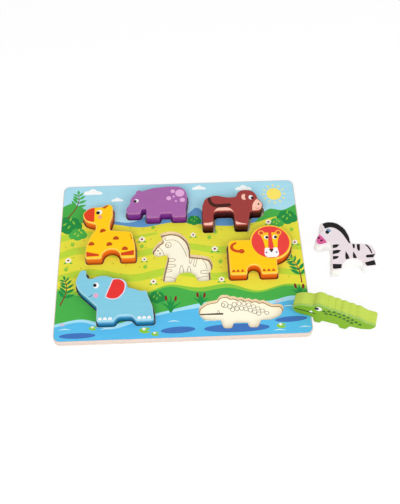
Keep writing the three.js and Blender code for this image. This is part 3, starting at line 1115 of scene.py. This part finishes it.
class Lion(Animal):
    """Lion with a round red mane, a white muzzle and a curled tail."""

    def marks(self) -> list[Motif]:
        """Lists the lion's patches.

        Returns:
            The patches in painting order.
        """
        left = rounded([(12, 54.8, 1.2), (15, 46.3, 3), (16.3, 35, 0.6), (19.7, 35, 0.6), (21, 48.3, 3),
                        (21.9, 58.6, 0.6), (15.6, 58.6, 1)])
        right = rounded([(35.5, 54.8, 1.2), (32.4, 46.3, 3), (31, 35, 0.6), (27, 35, 0.6), (25.8, 48.3, 3),
                         (25.6, 58.6, 0.6), (31.9, 58.6, 1)])
        muzzle = rounded([(15.6, 36.2, 1.5), (14.4, 26.6, 4), (17.2, 22.6, 3), (29.6, 22.6, 3),
                          (32.4, 26.6, 4), (31.1, 36.2, 1.5)])
        bridge = rounded([(21.2, 37, 0.3), (21.9, 33, 0.5), (25.2, 33, 0.5), (26, 37, 0.3)])
        nose = rounded([(20.2, 34.3, 0.7), (23.4, 29.2, 0.8), (26.6, 34.3, 0.7)])
        tail = ribbon([(-19.6, 44.6), (-23.3, 42.2), (-24.8, 38.9), (-23.5, 35.5), (-19.8, 33.2),
                       (-15.8, 32.3)], [2.8, 3.9, 3.6])
        ears = [(13, 58.4), (34.3, 58.3)]
        toes = [(-24.3, 4.9), (-19.2, 4.9), (-13.7, 4.9), (12.2, 4.7), (17.7, 4.7), (23.3, 4.7)]
        claws = [rounded([(x - 2.6, y - 1.6, 0.7), (x + 2.6, y - 1.6, 0.7), (x, y + 2.5, 1.1)])
                 for x, y in toes]
        return [
            *patches(Ink.LION_MANE, ellipse(23.4, 44.8, 23.2, steps=96)),
            *patches(Ink.LION_FACE, left, right),
            *patches(Ink.LION_EAR, *(ellipse(x, y, 3.9) for x, y in ears)),
            *patches(Ink.LION_TRIM, *(ellipse(x, y, 2.3) for x, y in ears)),
            *patches(Ink.WHITE, muzzle),
            *patches(Ink.LION_MANE, bridge),
            *patches(Ink.LION_NOSE, nose),
            *patches(Ink.LION_FRECKLE, ellipse(17.1, 29.6, 1.15), ellipse(29.4, 29.6, 1.15)),
            *patches(Ink.WHITE, ellipse(18.8, 51.7, 2.7, 2.9), ellipse(29.3, 51.7, 2.7, 2.9)),
            *patches(Ink.BLACK, ellipse(19.5, 51.6, 1.95), ellipse(30.1, 51.6, 1.95)),
            *patches(Ink.LION_TRIM, tail, ellipse(-12.8, 32.5, 3.6, 3.2), *claws),
        ]


class Elephant(Animal):
    """Elephant with a red ear and white toes."""

    def marks(self) -> list[Motif]:
        """Lists the elephant's patches.

        Returns:
            The patches in painting order.
        """
        ear = rounded([(-14.9, 55.1, 0.9), (-22.8, 32.4, 1.2), (-18.6, 29.4, 3), (-9.6, 29.2, 5),
                       (-1.4, 38.6, 6), (-0.8, 50.2, 5), (-7.2, 55.8, 4)])
        smile = ribbon([(-43, 32.6), (-41, 33), (-39.6, 34.2), (-39.2, 35.6)], [0.7, 0.9, 0.7])
        toes = [-28.8, -23, -17.2, 16.4, 21.9, 27.6]
        return [
            *patches(Ink.ELEPHANT_RIM, grown(ear, 1.2)),
            *patches(Ink.ELEPHANT_EAR, ear),
            *patches(Ink.WHITE, ellipse(-34.9, 47.7, 3.4, 3.9)),
            *patches(Ink.BLACK, ellipse(-36.2, 48, 2.1, 2.4)),
            *patches(Ink.ELEPHANT_CHEEK, ellipse(-34.5, 34.1, 3)),
            *patches(Ink.ELEPHANT_SMILE, smile),
            *patches(Ink.WHITE, *(dome(x, 1.5, 2.3, 3.4) for x in toes)),
        ]


class Zebra(Animal):
    """Zebra with a black mane and stripes and a pink muzzle."""

    def marks(self) -> list[Motif]:
        """Lists the zebra's patches.

        Returns:
            The patches in painting order.
        """
        mane = rounded([(-23.9, 60.2, 0.4), (-17.8, 62, 4), (-11.6, 60, 4), (-6.8, 55, 5), (-3.6, 48.8, 6),
                        (-1.4, 42.6, 6), (0.6, 36, 0.6), (6, 34, 1), (9, 48, 4), (2, 68, 6), (-14, 76, 6),
                        (-28, 74, 1)])
        muzzle = rounded([(-45, 30, 1), (-28, 34, 1), (-26.2, 41.4, 1.2), (-30, 49.4, 6), (-35.4, 56, 0.8),
                          (-48, 54, 1)])
        neck = [
            [(-21.4, 30.2, 0.4), (-15.2, 31.2, 0.9), (-11.2, 34.9, 0.6), (-15.2, 35.9, 0.9),
             (-20.2, 35.4, 0.5)],
            [(-22.8, 21.8, 0.4), (-15.2, 22.9, 0.9), (-10.8, 26.6, 0.6), (-15.2, 27.7, 0.9),
             (-21.2, 27.3, 0.5)],
            [(-23.8, 14.3, 0.4), (-18, 15.3, 0.8), (-15.2, 18.6, 0.6), (-22.6, 19.5, 0.5)],
        ]
        belly = [
            [(-8.4, 8, 0.3), (-3, 9, 0.3), (-3.5, 18, 2), (-5.6, 25, 0.7), (-7.9, 18, 2)],
            [(1, 9, 0.3), (6, 9, 0.3), (5.4, 17.5, 2), (3.5, 23.4, 0.7), (1.4, 17.5, 2)],
        ]
        back = [
            [(4.2, 29, 0.8), (5.2, 27, 0.8), (6.8, 29, 0.8), (8.6, 40, 0.3), (5, 40, 0.3)],
            [(8.8, 26, 1), (10.3, 22.6, 0.8), (12.2, 25, 1), (15.4, 40, 0.3), (11, 40, 0.3)],
            [(16.8, 14, 0.7), (18, 12.6, 0.7), (30, 12, 0.3), (30, 16.8, 0.3), (18, 16.6, 0.9)],
        ]
        tail = ribbon([(17.2, 36), (21, 31.3), (24, 25.6), (25.3, 18.8)], [1.6, 2, 2.2, 1.6])
        hooves = [
            [(-31, -1, 0.2), (-13, -1, 0.2), (-13, 6.6, 0.4), (-30, 9.2, 0.4)],
            [(12, -1, 0.2), (30, -1, 0.2), (30, 9, 0.4), (12, 5.8, 0.4)],
        ]
        stripes = [rounded(corners) for corners in neck + belly + back + hooves]
        return [
            *patches(Ink.ZEBRA_MUZZLE, muzzle),
            *patches(Ink.BLACK, mane, *stripes, tail),
            *patches(Ink.ZEBRA_NOSTRIL, ellipse(-34.6, 47.6, 1.6), ellipse(-32, 43.4, 1.6)),
            *patches(Ink.WHITE, ellipse(-21.4, 55.6, 3.7, 4)),
            *patches(Ink.ZEBRA_EYE, ellipse(-20.4, 56.8, 3)),
            *patches(Ink.BLACK, ellipse(-22.4, 54.8, 2.4, 2.7)),
        ]

    def drawing(self, width: float) -> list[Motif]:
        """Lists the zebra's lines: mane, muzzle, looped stripes, tail, hooves, eye and nostrils.

        Args:
            width: Width of the lines in mm.

        Returns:
            The lines as patches.
        """
        ways = [
            [(-25.6, 68), (-24.6, 63.2), (-20, 63.3), (-15, 63.2), (-11, 61.5), (-7, 57.5), (-4, 52),
             (-1.5, 46), (0, 41), (1.2, 37.6)],
            [(-35, 56), (-32.5, 52), (-29.5, 48), (-27.5, 44), (-26.6, 40.6)],
            [(-22.6, 35.7), (-16, 35.6), (-13, 33.7), (-16, 31.5), (-23, 31.4)],
            [(-23.4, 27.2), (-16, 27), (-12.6, 25.2), (-16, 23.4), (-24, 23.2)],
            [(-25, 20), (-20, 20), (-17.5, 18.2), (-20.5, 16.5), (-25.6, 16.4)],
            [(-8.2, 14), (-7.6, 20.6), (-5.7, 25.4), (-3.8, 20.6), (-3.4, 14)],
            [(1.2, 14), (1.6, 20), (3.5, 23.8), (5.2, 20), (5.4, 14)],
            [(4.4, 38), (4, 31), (5.2, 27.3), (7, 31), (8, 38)],
            [(11.6, 37), (9.5, 28), (9.2, 24.5), (10.3, 22.7), (12, 26), (14.6, 37)],
            [(17.4, 35.8), (21, 31.5), (24, 26), (25.5, 19)],
            [(27, 16.9), (19, 16.7), (17.3, 14.5), (19, 12.6), (28, 12.3)],
            [(-28.6, 9.4), (-21, 9), (-14, 6.4)],
            [(12, 5.4), (19, 7.6), (28, 9)],
        ]
        eye = [hoop(-21.5, 55.8, 3.6, 4.1, width), hoop(-22.8, 54.8, 1.9, 2, width)]
        nostrils = [ellipse(-34.5, 47.8, 1.1), ellipse(-32, 43.8, 1.1)]
        return patches(Ink.LINE, *(ribbon(way, [width]) for way in ways), *eye, *nostrils)


class Crocodile(Animal):
    """Crocodile with a long mouth and two rows of scales."""

    def scales(self) -> Points:
        """Spaces the scales evenly along two curves, nine above and seven below.

        Returns:
            The middle of each scale, in mm from the middle of the feet.
        """
        upper = spline([(-11, 29.8), (-4, 33), (3, 33.6), (11.8, 31.4), (22.4, 25.9), (32, 19.8)], 24)
        lower = spline([(-8, 26), (-2, 27), (5, 26.8), (13.9, 23.7), (22.4, 19.2)], 24)
        return np.vstack([evenly(upper, 9), evenly(lower, 7)])

    def marks(self) -> list[Motif]:
        """Lists the crocodile's patches.

        Returns:
            The patches in painting order.
        """
        points = [rounded([(x - 2.6, y - 2.1, 0.8), (x + 2.6, y - 2.1, 0.8), (x + 0.5, y + 2.8, 0.9)], 5)
                  for x, y in self.scales()]
        mouth = ribbon([(-52, 21.4), (-34, 20.9), (-20.4, 20.1)], [1.6, 2.2, 1.9])
        tooth = rounded([(-27.2, 21.2, 0.3), (-22.8, 21.2, 0.3), (-25, 25.6, 0.5)])
        return [
            *patches(Ink.CROCODILE_SCALE, *points),
            *patches(Ink.CROCODILE_MOUTH, mouth),
            *patches(Ink.WHITE, tooth, ellipse(-17.6, 32.2, 3.9, 4.2)),
            *patches(Ink.BLACK, ellipse(-19.6, 32, 2.5, 2.8)),
        ]

    def drawing(self, width: float) -> list[Motif]:
        """Lists the crocodile's lines: its eye, scales looped lower towards the tail, its mouth and a tooth.

        Args:
            width: Width of the lines in mm.

        Returns:
            The lines as patches.
        """
        middles = self.scales()
        heights = np.interp(middles[:, 0], [-11, 32], [3.1, 2.1])
        loops = [hoop(x, y, 2.5, height, width) for (x, y), height in zip(middles, heights)]
        eye = [hoop(-17, 32.9, 3.8, 4.1, width), hoop(-18.9, 32.2, 2, 2.2, width)]
        tooth = ribbon([(-26.4, 21), (-24.8, 25.2), (-23.2, 21)], [width])
        mouth = ribbon([(-47, 20.7), (-34, 20.7), (-20.4, 20.6)], [1.4, 2.0, 2.4])
        return [
            *patches(Ink.LOOP_LINE, *loops, *eye),
            *patches(Ink.LINE, tooth),
            *patches(Ink.DARK_LINE, mouth),
        ]


@dataclass
class Picture:
    """The printed scenery: a sunny sky, hills, a flowering meadow and a shore with reeds, in flat inks.

    Attributes:
        half_length: Half of its length in mm, a little past the board's edge.
        half_depth: Half of its depth.
        leaflet_turn: Angle between a frond's leaflets and its stem, in degrees.
    """

    half_length: float = 152.0
    half_depth: float = 115.0
    leaflet_turn: float = 52.0

    def frond(self, x: float, y: float, lean: float, length: float, ink: Ink) -> list[Motif]:
        """Draws a fern frond: pairs of pointed leaflets on a bent stem, shorter towards the tip.

        Args:
            x: Foot of the stem across, in mm.
            y: Foot of the stem up.
            lean: Heading of the stem in degrees anticlockwise from straight up.
            length: Length of the stem.
            ink: The leaflets' ink.

        Returns:
            The frond's patches.
        """
        way = turned(np.array([(0, 0), (0.05, 0.4), (0, 0.75), (-0.14, 1.0)]) * length, lean) + (x, y)
        stem = spline(way.tolist(), 4)
        heading = np.degrees(np.arctan2(*np.gradient(stem, axis=0).T[::-1]))
        drawn = patches(ink, leaf(*stem[-1], 0.2 * length, 0.09 * length, heading[-1]))
        for i in range(3, len(stem), 2):
            size = length * (0.46 - 0.26 * i / len(stem))
            turns = (heading[i] - self.leaflet_turn, heading[i] + self.leaflet_turn)
            drawn += patches(ink, *(leaf(*stem[i], size, 0.32 * size, turn) for turn in turns))
        return drawn + patches(Ink.STEM, ribbon(way.tolist(), [1.5, 1.1, 0.7]))

    def flower(self, x: float, y: float, size: float) -> list[Motif]:
        """Draws a flower: five round petals about a dark middle, over two leaves.

        Args:
            x: Middle across, in mm.
            y: Middle up.
            size: Radius of the whole flower.

        Returns:
            The flower's patches.
        """
        around = np.radians(np.arange(5) * 72 + 18)
        middles = [(x + 0.6 * size * math.cos(a), y + 0.6 * size * math.sin(a)) for a in around]
        leaves = [leaf(x, y - 0.6 * size, 1.7 * size, 0.6 * size, turn) for turn in (205, 335)]
        petals = [ellipse(*middle, 0.42 * size, steps=18) for middle in middles]
        heart = ellipse(x, y, 0.36 * size, steps=18)
        return [*patches(Ink.LEAF, *leaves), *patches(Ink.PETAL, *petals), *patches(Ink.STEM, heart)]

    def tuft(self, x: float, y: float, size: float) -> list[Motif]:
        """Draws a tuft of grass of a size in mm: four blades that fan out from one foot."""
        fan = ((62, 0.8), (82, 1.05), (102, 0.95), (122, 0.7))
        return patches(Ink.GRASS, *(leaf(x, y, size * tall, 0.2 * size, turn) for turn, tall in fan))

    def reeds(self, x: float, y: float, height: float) -> list[Motif]:
        """Draws a clump of reeds: bent blades with two dark heads.

        Args:
            x: Foot across, in mm.
            y: Foot up.
            height: Height of the middle blade.

        Returns:
            The clump's patches.
        """
        leans = [(-0.55, 0.62), (-0.26, 0.9), (0.02, 1.0), (0.3, 0.85), (0.58, 0.55)]
        ways = [[(x, y), (x + 0.35 * lean * height, y + 0.55 * tall * height),
                 (x + lean * height, y + tall * height)] for lean, tall in leans]
        heads = [ellipse(x + 0.92 * lean * height, y + 0.94 * tall * height, 1.5, 3.6, -25 * lean, 20)
                 for lean, tall in (leans[1], leans[3])]
        blades = [ribbon(way, [2.4, 2.6, 0.5]) for way in ways]
        return [*patches(Ink.DEEP_LEAF, *blades), *patches(Ink.STEM, *heads)]

    def bush(self, x: float, y: float, size: float, ink: Ink, mark: Ink) -> list[Motif]:
        """Draws a round bush: five overlapping discs with a few leaf marks.

        Args:
            x: Middle across, in mm.
            y: Middle up.
            size: Half-width of the bush.
            ink: Its ink.
            mark: Ink of the leaf marks.

        Returns:
            The bush's patches.
        """
        discs = [(-0.55, -0.1, 0.5), (0.55, -0.12, 0.5), (-0.2, 0.3, 0.56), (0.28, 0.26, 0.52),
                 (0, -0.22, 0.6)]
        marks = [(-0.5, 0.0, 40), (0.05, 0.42, 75), (0.45, 0.1, 120), (-0.1, -0.3, 60)]
        crowns = [ellipse(x + a * size, y + b * size, share * size, steps=36) for a, b, share in discs]
        leaves = [leaf(x + a * size, y + b * size, 0.42 * size, 0.15 * size, turn) for a, b, turn in marks]
        return [*patches(ink, *crowns), *patches(mark, *leaves)]

    def cloud(self, x: float, y: float, size: float) -> list[Motif]:
        """Draws a small cloud of three round puffs, of a size in mm, on a flat foot."""
        puffs = ((-0.8, 0.7, 0.75), (0.75, 0.8, 0.7), (0, 0.8, 1.15))
        return patches(Ink.CLOUD, *(dome(x + a * size, y, b * size, c * size) for a, b, c in puffs))

    def sun(self, x: float, y: float, size: float) -> list[Motif]:
        """Draws a sun: a disc with twelve pointed rays round it.

        Args:
            x: Middle across, in mm.
            y: Middle up.
            size: Radius of the disc.

        Returns:
            The sun's patches.
        """
        around = np.linspace(0, 2 * math.pi, 12, endpoint=False)
        feet = [(x + 1.2 * size * math.cos(a), y + 1.2 * size * math.sin(a)) for a in around]
        rays = [leaf(*foot, 0.5 * size, 0.2 * size, math.degrees(a)) for foot, a in zip(feet, around)]
        return patches(Ink.SUN, ellipse(x, y, size, steps=48), *rays)

    def lily(self, x: float, y: float, size: float) -> list[Motif]:
        """Draws a lily pad: a flat disc with a notch, and a pale bud on it.

        Args:
            x: Middle across, in mm.
            y: Middle up.
            size: Half-width of the pad.

        Returns:
            The lily's patches.
        """
        angle = np.radians(np.linspace(25, 335, 32))
        pad = np.stack([x + size * np.cos(angle), y + 0.55 * size * np.sin(angle)], axis=1)
        bud = [leaf(x - 0.2 * size, y, 0.6 * size, 0.3 * size, turn) for turn in (60, 90, 120)]
        return [*patches(Ink.GRASS, np.vstack([pad, [(x + 0.2 * size, y)]])), *patches(Ink.PETAL, *bud)]

    def blades(self) -> list[Points]:
        """Spreads pairs of grass blades over the meadow, stepped by irrational ratios so that no grid shows.

        Returns:
            The blades' outlines.
        """
        step = np.arange(90)
        x = -146 + 292 * np.mod(step * 0.618034, 1.0)
        y = -40 + 84 * np.mod(step * 0.754878, 1.0)
        return [leaf(a, b, 3, 0.9, turn) for a, b in zip(x, y) for turn in (68, 112)]

    def sky(self) -> list[Motif]:
        """Lists the sky with its sun and clouds, and the hills before it.

        Returns:
            The patches in painting order.
        """
        left, right = -self.half_length, self.half_length
        air = under([(left, 40), (0, 38), (right, 40)], self.half_depth)
        far = under([(left, 56), (-118, 70), (-92, 58), (-62, 52), (-34, 66), (-8, 76), (8, 62), (22, 72),
                     (40, 58), (80, 54), (right, 52)], 30)
        near = [under([(left, 78), (-138, 84), (-120, 74), (-98, 54), (-80, 40), (-70, 30)], 20),
                under([(84, 30), (98, 50), (114, 66), (132, 64), (right, 74)], 20)]
        drawn = [*patches(Ink.SKY, air), *self.sun(123, 90, 9.6)]
        for x, y, size in ((-112, 98, 8), (-80, 86, 5), (26, 101, 6), (84, 98, 7)):
            drawn += self.cloud(x, y, size)
        return [*drawn, *patches(Ink.FAR_HILL, far), *patches(Ink.LEAF, *near)]

    def land(self) -> list[Motif]:
        """Lists the broad bands of the land, from the meadow down to the water.

        Returns:
            The patches in painting order.
        """
        left, right, foot = -self.half_length, self.half_length, -self.half_depth
        meadow = under([(left, 46), (-118, 54), (-84, 50), (-48, 44), (-10, 50), (24, 46), (60, 42), (96, 46),
                        (124, 54), (right, 48)], foot)
        lanes = [
            ribbon([(left, 30), (-118, 36), (-70, 28), (-30, 34)], [10, 9, 3]),
            ribbon([(left, 4), (-120, 12), (-60, 4), (0, 14), (50, 6), (100, 16), (right, 6)],
                   [9, 12, 8, 12, 9]),
            ribbon([(left, -28), (-110, -20), (-60, -30), (-10, -22), (40, -32), (90, -24), (right, -32)],
                   [8, 11, 8]),
        ]
        bank = [(left, -44), (-120, -52), (-85, -46), (-50, -54), (-15, -44), (20, -52), (55, -48), (90, -56),
                (125, -48), (right, -54)]
        shore = [(left, -90), (-118, -84), (-84, -92), (-50, -84), (-16, -76), (20, -68), (60, -64),
                 (100, -68), (130, -62), (right, -66)]
        verge = [(x, y + 4 + 2 * math.sin(x / 23)) for x, y in bank]
        deep = [(x, y - 4.5 - 1.5 * math.sin(x / 17)) for x, y in shore]
        return [
            *patches(Ink.MEADOW, meadow),
            *patches(Ink.LIME, *lanes),
            *patches(Ink.MEADOW_TICK, *self.blades()),
            *patches(Ink.GRASS, under(verge, foot)),
            *patches(Ink.LEAF, under(bank, foot)),
            *patches(Ink.SHALLOW, under(shore, foot)),
            *patches(Ink.WATER, under(deep, foot)),
        ]

    def water(self) -> list[Motif]:
        """Lists the dark pools, the ripples and the pebbles.

        Returns:
            The patches in painting order.
        """
        pools = [ellipse(62, -102, 38, 5.5), ellipse(126, -93, 19, 3.6, 3), ellipse(-6, -102, 20, 4.2, 2),
                 ellipse(-122, -105, 21, 3.6)]
        spots = [(118, -76), (136, -84), (104, -107), (24, -92), (-18, -91), (134, -104), (-144, -97),
                 (-96, -98)]
        ripples = [ribbon([(x, y), (x + 7, y + 1), (x + 14, y)], [0.3, 1.3, 0.3]) for x, y in spots]
        stones = [(-96, -87, 3.6, 10), (-91, -89, 2.4, 0), (-36, -83, 3.2, -5), (112, -69, 3, 8),
                  (118, -67, 2, 0), (-140, -90, 3, 0)]
        pebbles = [ellipse(x, y, half, 0.62 * half, turn, 24) for x, y, half, turn in stones]
        return [
            *patches(Ink.DEEP_WATER, *pools),
            *patches(Ink.HAZE, *ripples),
            *patches(Ink.PEBBLE, *pebbles),
        ]

    def plants(self) -> list[Motif]:
        """Lists the bushes, fronds, tufts, flowers, reeds and lilies.

        Returns:
            The patches in painting order.
        """
        dark, light = (Ink.DEEP_LEAF, Ink.GRASS), (Ink.LEAF, Ink.LIME)
        bushes = [(-140, 50, 16, dark), (-128, 36, 11, light), (136, 52, 13, dark), (122, 44, 9, light),
                  (18, 52, 9, dark), (-30, -58, 10, dark)]
        fronds = [(-142, 62, -26, 38, Ink.LEAF), (-144, -64, -14, 34, Ink.DEEP_LEAF),
                  (144, -44, 10, 36, Ink.DEEP_LEAF)]
        tufts = [(-134, 18), (-48, 12), (36, 22), (48, -14), (-44, -18), (140, 30), (-140, -18), (44, 30),
                 (-34, 40), (136, -14)]
        flowers = [(-48, 26, 4), (42, 8, 4), (48, -36, 3.6), (-34, -36, 3.6), (112, 46, 3.6), (-138, -2, 3.8),
                   (142, 14, 3.6), (-45, -4, 3.2), (16, 30, 3.4)]
        reeds = [(-14, -78, 22), (140, -64, 18), (22, -70, 16), (-56, -86, 14)]
        lilies = [(-44, -101, 7), (-32, -106, 5), (114, -101, 6), (-104, -96, 5)]
        clumps = [self.bush(x, y, size, *inks) for x, y, size, inks in bushes]
        clumps += [self.frond(*frond) for frond in fronds]
        clumps += [self.tuft(x, y, 8) for x, y in tufts]
        clumps += [self.flower(*flower) for flower in flowers]
        clumps += [self.reeds(*clump) for clump in reeds]
        clumps += [self.lily(*lily) for lily in lilies]
        return [motif for clump in clumps for motif in clump]

    def motifs(self) -> list[Motif]:
        """Lists the whole picture in painting order."""
        return [*self.sky(), *self.land(), *self.water(), *self.plants()]


@dataclass
class Board:
    """The board: a printed upper panel with pockets, glued on a bare backing panel with line drawings.

    Attributes:
        edge_round: Rounding of the outer edges in mm.
        cut_round: Rounding of the pockets' upper edges.
        clearance: Gap between an animal and its pocket's wall.
        line_width: Width of the drawn lines.
        lap: How far the brown line, with its painted shade, runs in under the wall.
        spacing: Distance between samples of the outer edge.
        softness: Smoothing of the outer edge.
        pocket_spacing: Distance between samples of a pocket's edge.
        pocket_softness: Smoothing of a pocket's edge.
    """

    edge_round: float = 0.9
    cut_round: float = 0.3
    clearance: float = 1.4
    line_width: float = 0.65
    lap: float = 1.0
    spacing: float = 0.8
    softness: float = 0.4
    pocket_spacing: float = 0.5
    pocket_softness: float = 0.5

    def build(self, animals: list[Animal], printed: bpy.types.Material, bare: bpy.types.Material,
              edge: bpy.types.Material, cut: bpy.types.Material) -> list[bpy.types.Object]:
        """Builds both panels and lets them ride on the board.

        Args:
            animals: The animals, whose marks are drawn in their pockets.
            printed: Finish of the printed face.
            bare: Finish of the pocket floors and the underside.
            edge: Finish of the outer edge.
            cut: Finish of the pocket walls.

        Returns:
            The two new pieces.
        """
        points, triangles = solid_points("cutout_board")
        top, glue = float(points[:, 2].max()), float(points[:, 2].min())
        outer, *pockets = top_outlines(points, triangles)
        holes = [line if area(line) > 0 else line[::-1] for line in pockets]
        holes = [eased(line, self.pocket_spacing, self.pocket_softness) for line in holes]
        holes = [grown(line, self.cut_round) for line in holes]
        face = Face.printed(eased(outer, self.spacing, self.softness), holes, Ink.MEADOW, Picture().motifs())
        floor = eased(top_outlines(*solid_points("backing_board"))[0], self.spacing, self.softness)
        floor_face = Face.printed(floor, [], Ink.BARE, self.drawings(animals))
        plain = SidePaint(Ink.BARE, Ink.BARE)
        upper = Slab("printed_panel", face, Profile(top, glue, self.edge_round, 0),
                     Profile(top, glue, self.cut_round, 0), plain).build(LEVEL, [printed, edge, cut, bare])
        lower = Slab("backing_panel", floor_face, Profile(glue, 0.0, 0, self.edge_round),
                     Profile(glue, 0.0, 0, 0), plain).build(LEVEL, [bare, edge, cut, bare])
        panels = ((upper, "cutout_board", "printed_wood"), (lower, "backing_board", "bare_wood"))
        for piece, node, slot in panels:
            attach(piece, "board")
            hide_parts(node)
        return [upper, lower]

    def drawings(self, animals: list[Animal]) -> list[Motif]:
        """Draws each animal's marks, and a brown line with painted shade along the wall, on the floor of its
        pocket.

        Args:
            animals: The animals.

        Returns:
            The lines as patches.
        """
        drawn: list[Motif] = []
        for animal in animals:
            seat, border = animal.border()
            spot = seat.start[:2] if animal.pocket is None else np.array(animal.pocket)
            wall = animal.edge_round + self.clearance
            # Brown ring at the wall's foot: partly a drawn line, partly painted shade where wall and floor
            # meet
            ring = [*patches(Ink.WALL_LINE_AND_SHADE, grown(border, wall + self.lap)),
                    *patches(Ink.BARE, grown(border, wall - animal.ring))]
            drawn += [Motif(mark.ink, mark.outline + spot) for mark in ring + animal.drawing(self.line_width)]
        return drawn


@dataclass(frozen=True)
class Lamp:
    """A round soft lamp: its place and diameter in mm, and its power in watts."""

    name: str
    place: Corner
    size: float
    power: float


@dataclass
class Studio:
    """Pale floor, soft light and the camera of the photograph's view.

    Attributes:
        eye: The camera's place in mm.
        elevation: How far it looks down, in degrees.
        azimuth: How far it looks to the right.
        lens: Focal length in mm, on a sensor of the width below.
        sensor: Width of the sensor.
        floor_half: Half-width of the floor.
        floor_drop: How far the floor lies below the puzzle, so that the two faces don't share a plane.
        glow_share: Share of the floor's own white where it is seen; the rest takes the shadow.
        glow: Strength of that white.
        sky: Strength of the even light from all round.
        backdrop: Strength of the white that is seen behind the floor.
        aim: Point that the lamps look at.
        lamps: The lamps.
    """

    eye: Corner = (3.8, -485.1, 766.4)
    elevation: float = 57.092
    azimuth: float = 2.314
    lens: float = 65.763
    sensor: float = 36.0
    floor_half: float = 4000.0
    floor_drop: float = 0.2
    glow_share: float = 0.8
    glow: float = 1.03
    sky: float = 0.6
    backdrop: float = 1.0
    aim: Corner = (20.0, 0.0, 0.0)
    lamps: tuple[Lamp, ...] = (
        Lamp("key", (-400.0, -1050.0, 1200.0), 1000.0, 11.5),
        Lamp("fill", (1000.0, -800.0, 1000.0), 1200.0, 7.5),
    )

    def camera(self) -> None:
        """Sets the camera where the board's corners fall on the photograph's."""
        data = bpy.data.cameras.new("camera")
        data.sensor_fit = "HORIZONTAL"
        data.sensor_width = self.sensor
        data.lens = self.lens
        data.clip_end = 50.0
        camera = bpy.data.objects.new("camera", data)
        camera.location = Vector(self.eye) * MM
        camera.rotation_euler = (math.radians(90 - self.elevation), 0.0, math.radians(-self.azimuth))
        bpy.context.scene.collection.objects.link(camera)
        bpy.context.scene.camera = camera

    def seen(self, tree: bpy.types.NodeTree) -> bpy.types.NodeSocket:
        """Tells rays that show the background, straight, in gloss or through glass, from those that light.

        Args:
            tree: The node tree of the floor or of the world.

        Returns:
            A socket that is 1 for such rays.
        """
        path = add(tree, "LightPath", {}).node.outputs
        rays = {0: path["Is Camera Ray"], 1: path["Is Glossy Ray"]}
        either = add(tree, "Math", rays, operation="MAXIMUM")
        return add(tree, "Math", {0: either, 1: path["Is Transmission Ray"]}, operation="MAXIMUM")

    def floor(self) -> None:
        """Lays the pale floor, white to the camera but still taking the object's shadow."""
        material, tree = blank("studio_floor")
        share = add(tree, "Math", {0: self.seen(tree), 1: self.glow_share}, operation="MULTIPLY")
        matt = add(tree, "BsdfDiffuse", {"Color": opaque("#FAFAFA")})
        glow = add(tree, "Emission", {"Color": opaque("#FFFFFF"), "Strength": self.glow})
        add(tree, "OutputMaterial", {"Surface": add(tree, "MixShader", {0: share, 1: matt, 2: glow})})
        half, low = self.floor_half * MM, -self.floor_drop * MM
        mesh = bpy.data.meshes.new("studio_floor")
        corners = [(-half, -half, low), (half, -half, low), (half, half, low), (-half, half, low)]
        mesh.from_pydata(corners, [], [(0, 1, 2, 3)])
        mesh.materials.append(material)
        floor = bpy.data.objects.new("studio_floor", mesh)
        bpy.context.scene.collection.objects.link(floor)

    def lights(self) -> None:
        """Hangs two soft lamps under an even sky, so that a level white card renders white."""
        world = bpy.data.worlds.new("studio")
        world.use_nodes = True
        tree = world.node_tree
        tree.nodes.clear()
        levels = {"Value": self.seen(tree), "To Min": self.sky, "To Max": self.backdrop}
        strength = add(tree, "MapRange", levels)
        sky = add(tree, "Background", {"Color": opaque("#FFFFFF"), "Strength": strength})
        add(tree, "OutputWorld", {"Surface": sky})
        bpy.context.scene.world = world
        for lamp in self.lamps:
            data = bpy.data.lights.new(lamp.name, "AREA")
            data.shape = "DISK"
            data.size = lamp.size * MM
            data.energy = lamp.power
            hung = bpy.data.objects.new(lamp.name, data)
            hung.location = Vector(lamp.place) * MM
            hung.rotation_euler = (Vector(self.aim) - Vector(lamp.place)).to_track_quat("-Z", "Y").to_euler()
            bpy.context.scene.collection.objects.link(hung)


def main() -> None:
    """Sets the studio, then builds the board and the animals."""
    logging.basicConfig(level=logging.INFO, format="%(name)s: %(message)s")
    scene = bpy.context.scene
    scene.view_settings.view_transform = "Standard"
    studio = Studio()
    studio.camera()
    studio.floor()
    studio.lights()
    paint = PAINTED_BASSWOOD.material()
    # foot_shade sets each animal's painted shade at its foot, rim_highlight its painted highlight along the
    # rim
    animals = [
        Giraffe("giraffe", Ink.GIRAFFE_FACE, Ink.GIRAFFE_SIDE),
        Hippo("hippo", Ink.HIPPO_FACE, Ink.HIPPO_SIDE, rim_highlight=0.02),
        Monkey("monkey", Ink.MONKEY_FACE, Ink.MONKEY_SIDE, rim_highlight=0.0, foot_shade=0.25),
        Lion("lion", Ink.LION_FACE, Ink.LION_SIDE),
        Elephant("elephant", Ink.ELEPHANT_FACE, Ink.ELEPHANT_SIDE, rim_highlight=0.15, rim_fade=6.5,
                 foot_shade=0.7),
        Zebra("zebra", Ink.ZEBRA_FACE, Ink.ZEBRA_SIDE, turn=4.0, pocket=(6.0, -36.0), foot_shade=0.92,
              ring=1.5),
        Crocodile("crocodile", Ink.CROCODILE_FACE, Ink.CROCODILE_SIDE, turn=-18.0, standing=True,
                  pocket=(67.0, -100.5), foot_shade=1.0, ring=0.7),
    ]
    pieces = Board().build(animals, PRINTED_VENEER.material(), BARE_VENEER.material(), BOARD_EDGE.material(),
                           POCKET_EDGE.material())
    pieces += [animal.build(paint) for animal in animals]
    for piece in pieces:
        LOG.info("%s: %d faces", piece.name, len(piece.data.polygons))


if __name__ == "__main__":
    main()
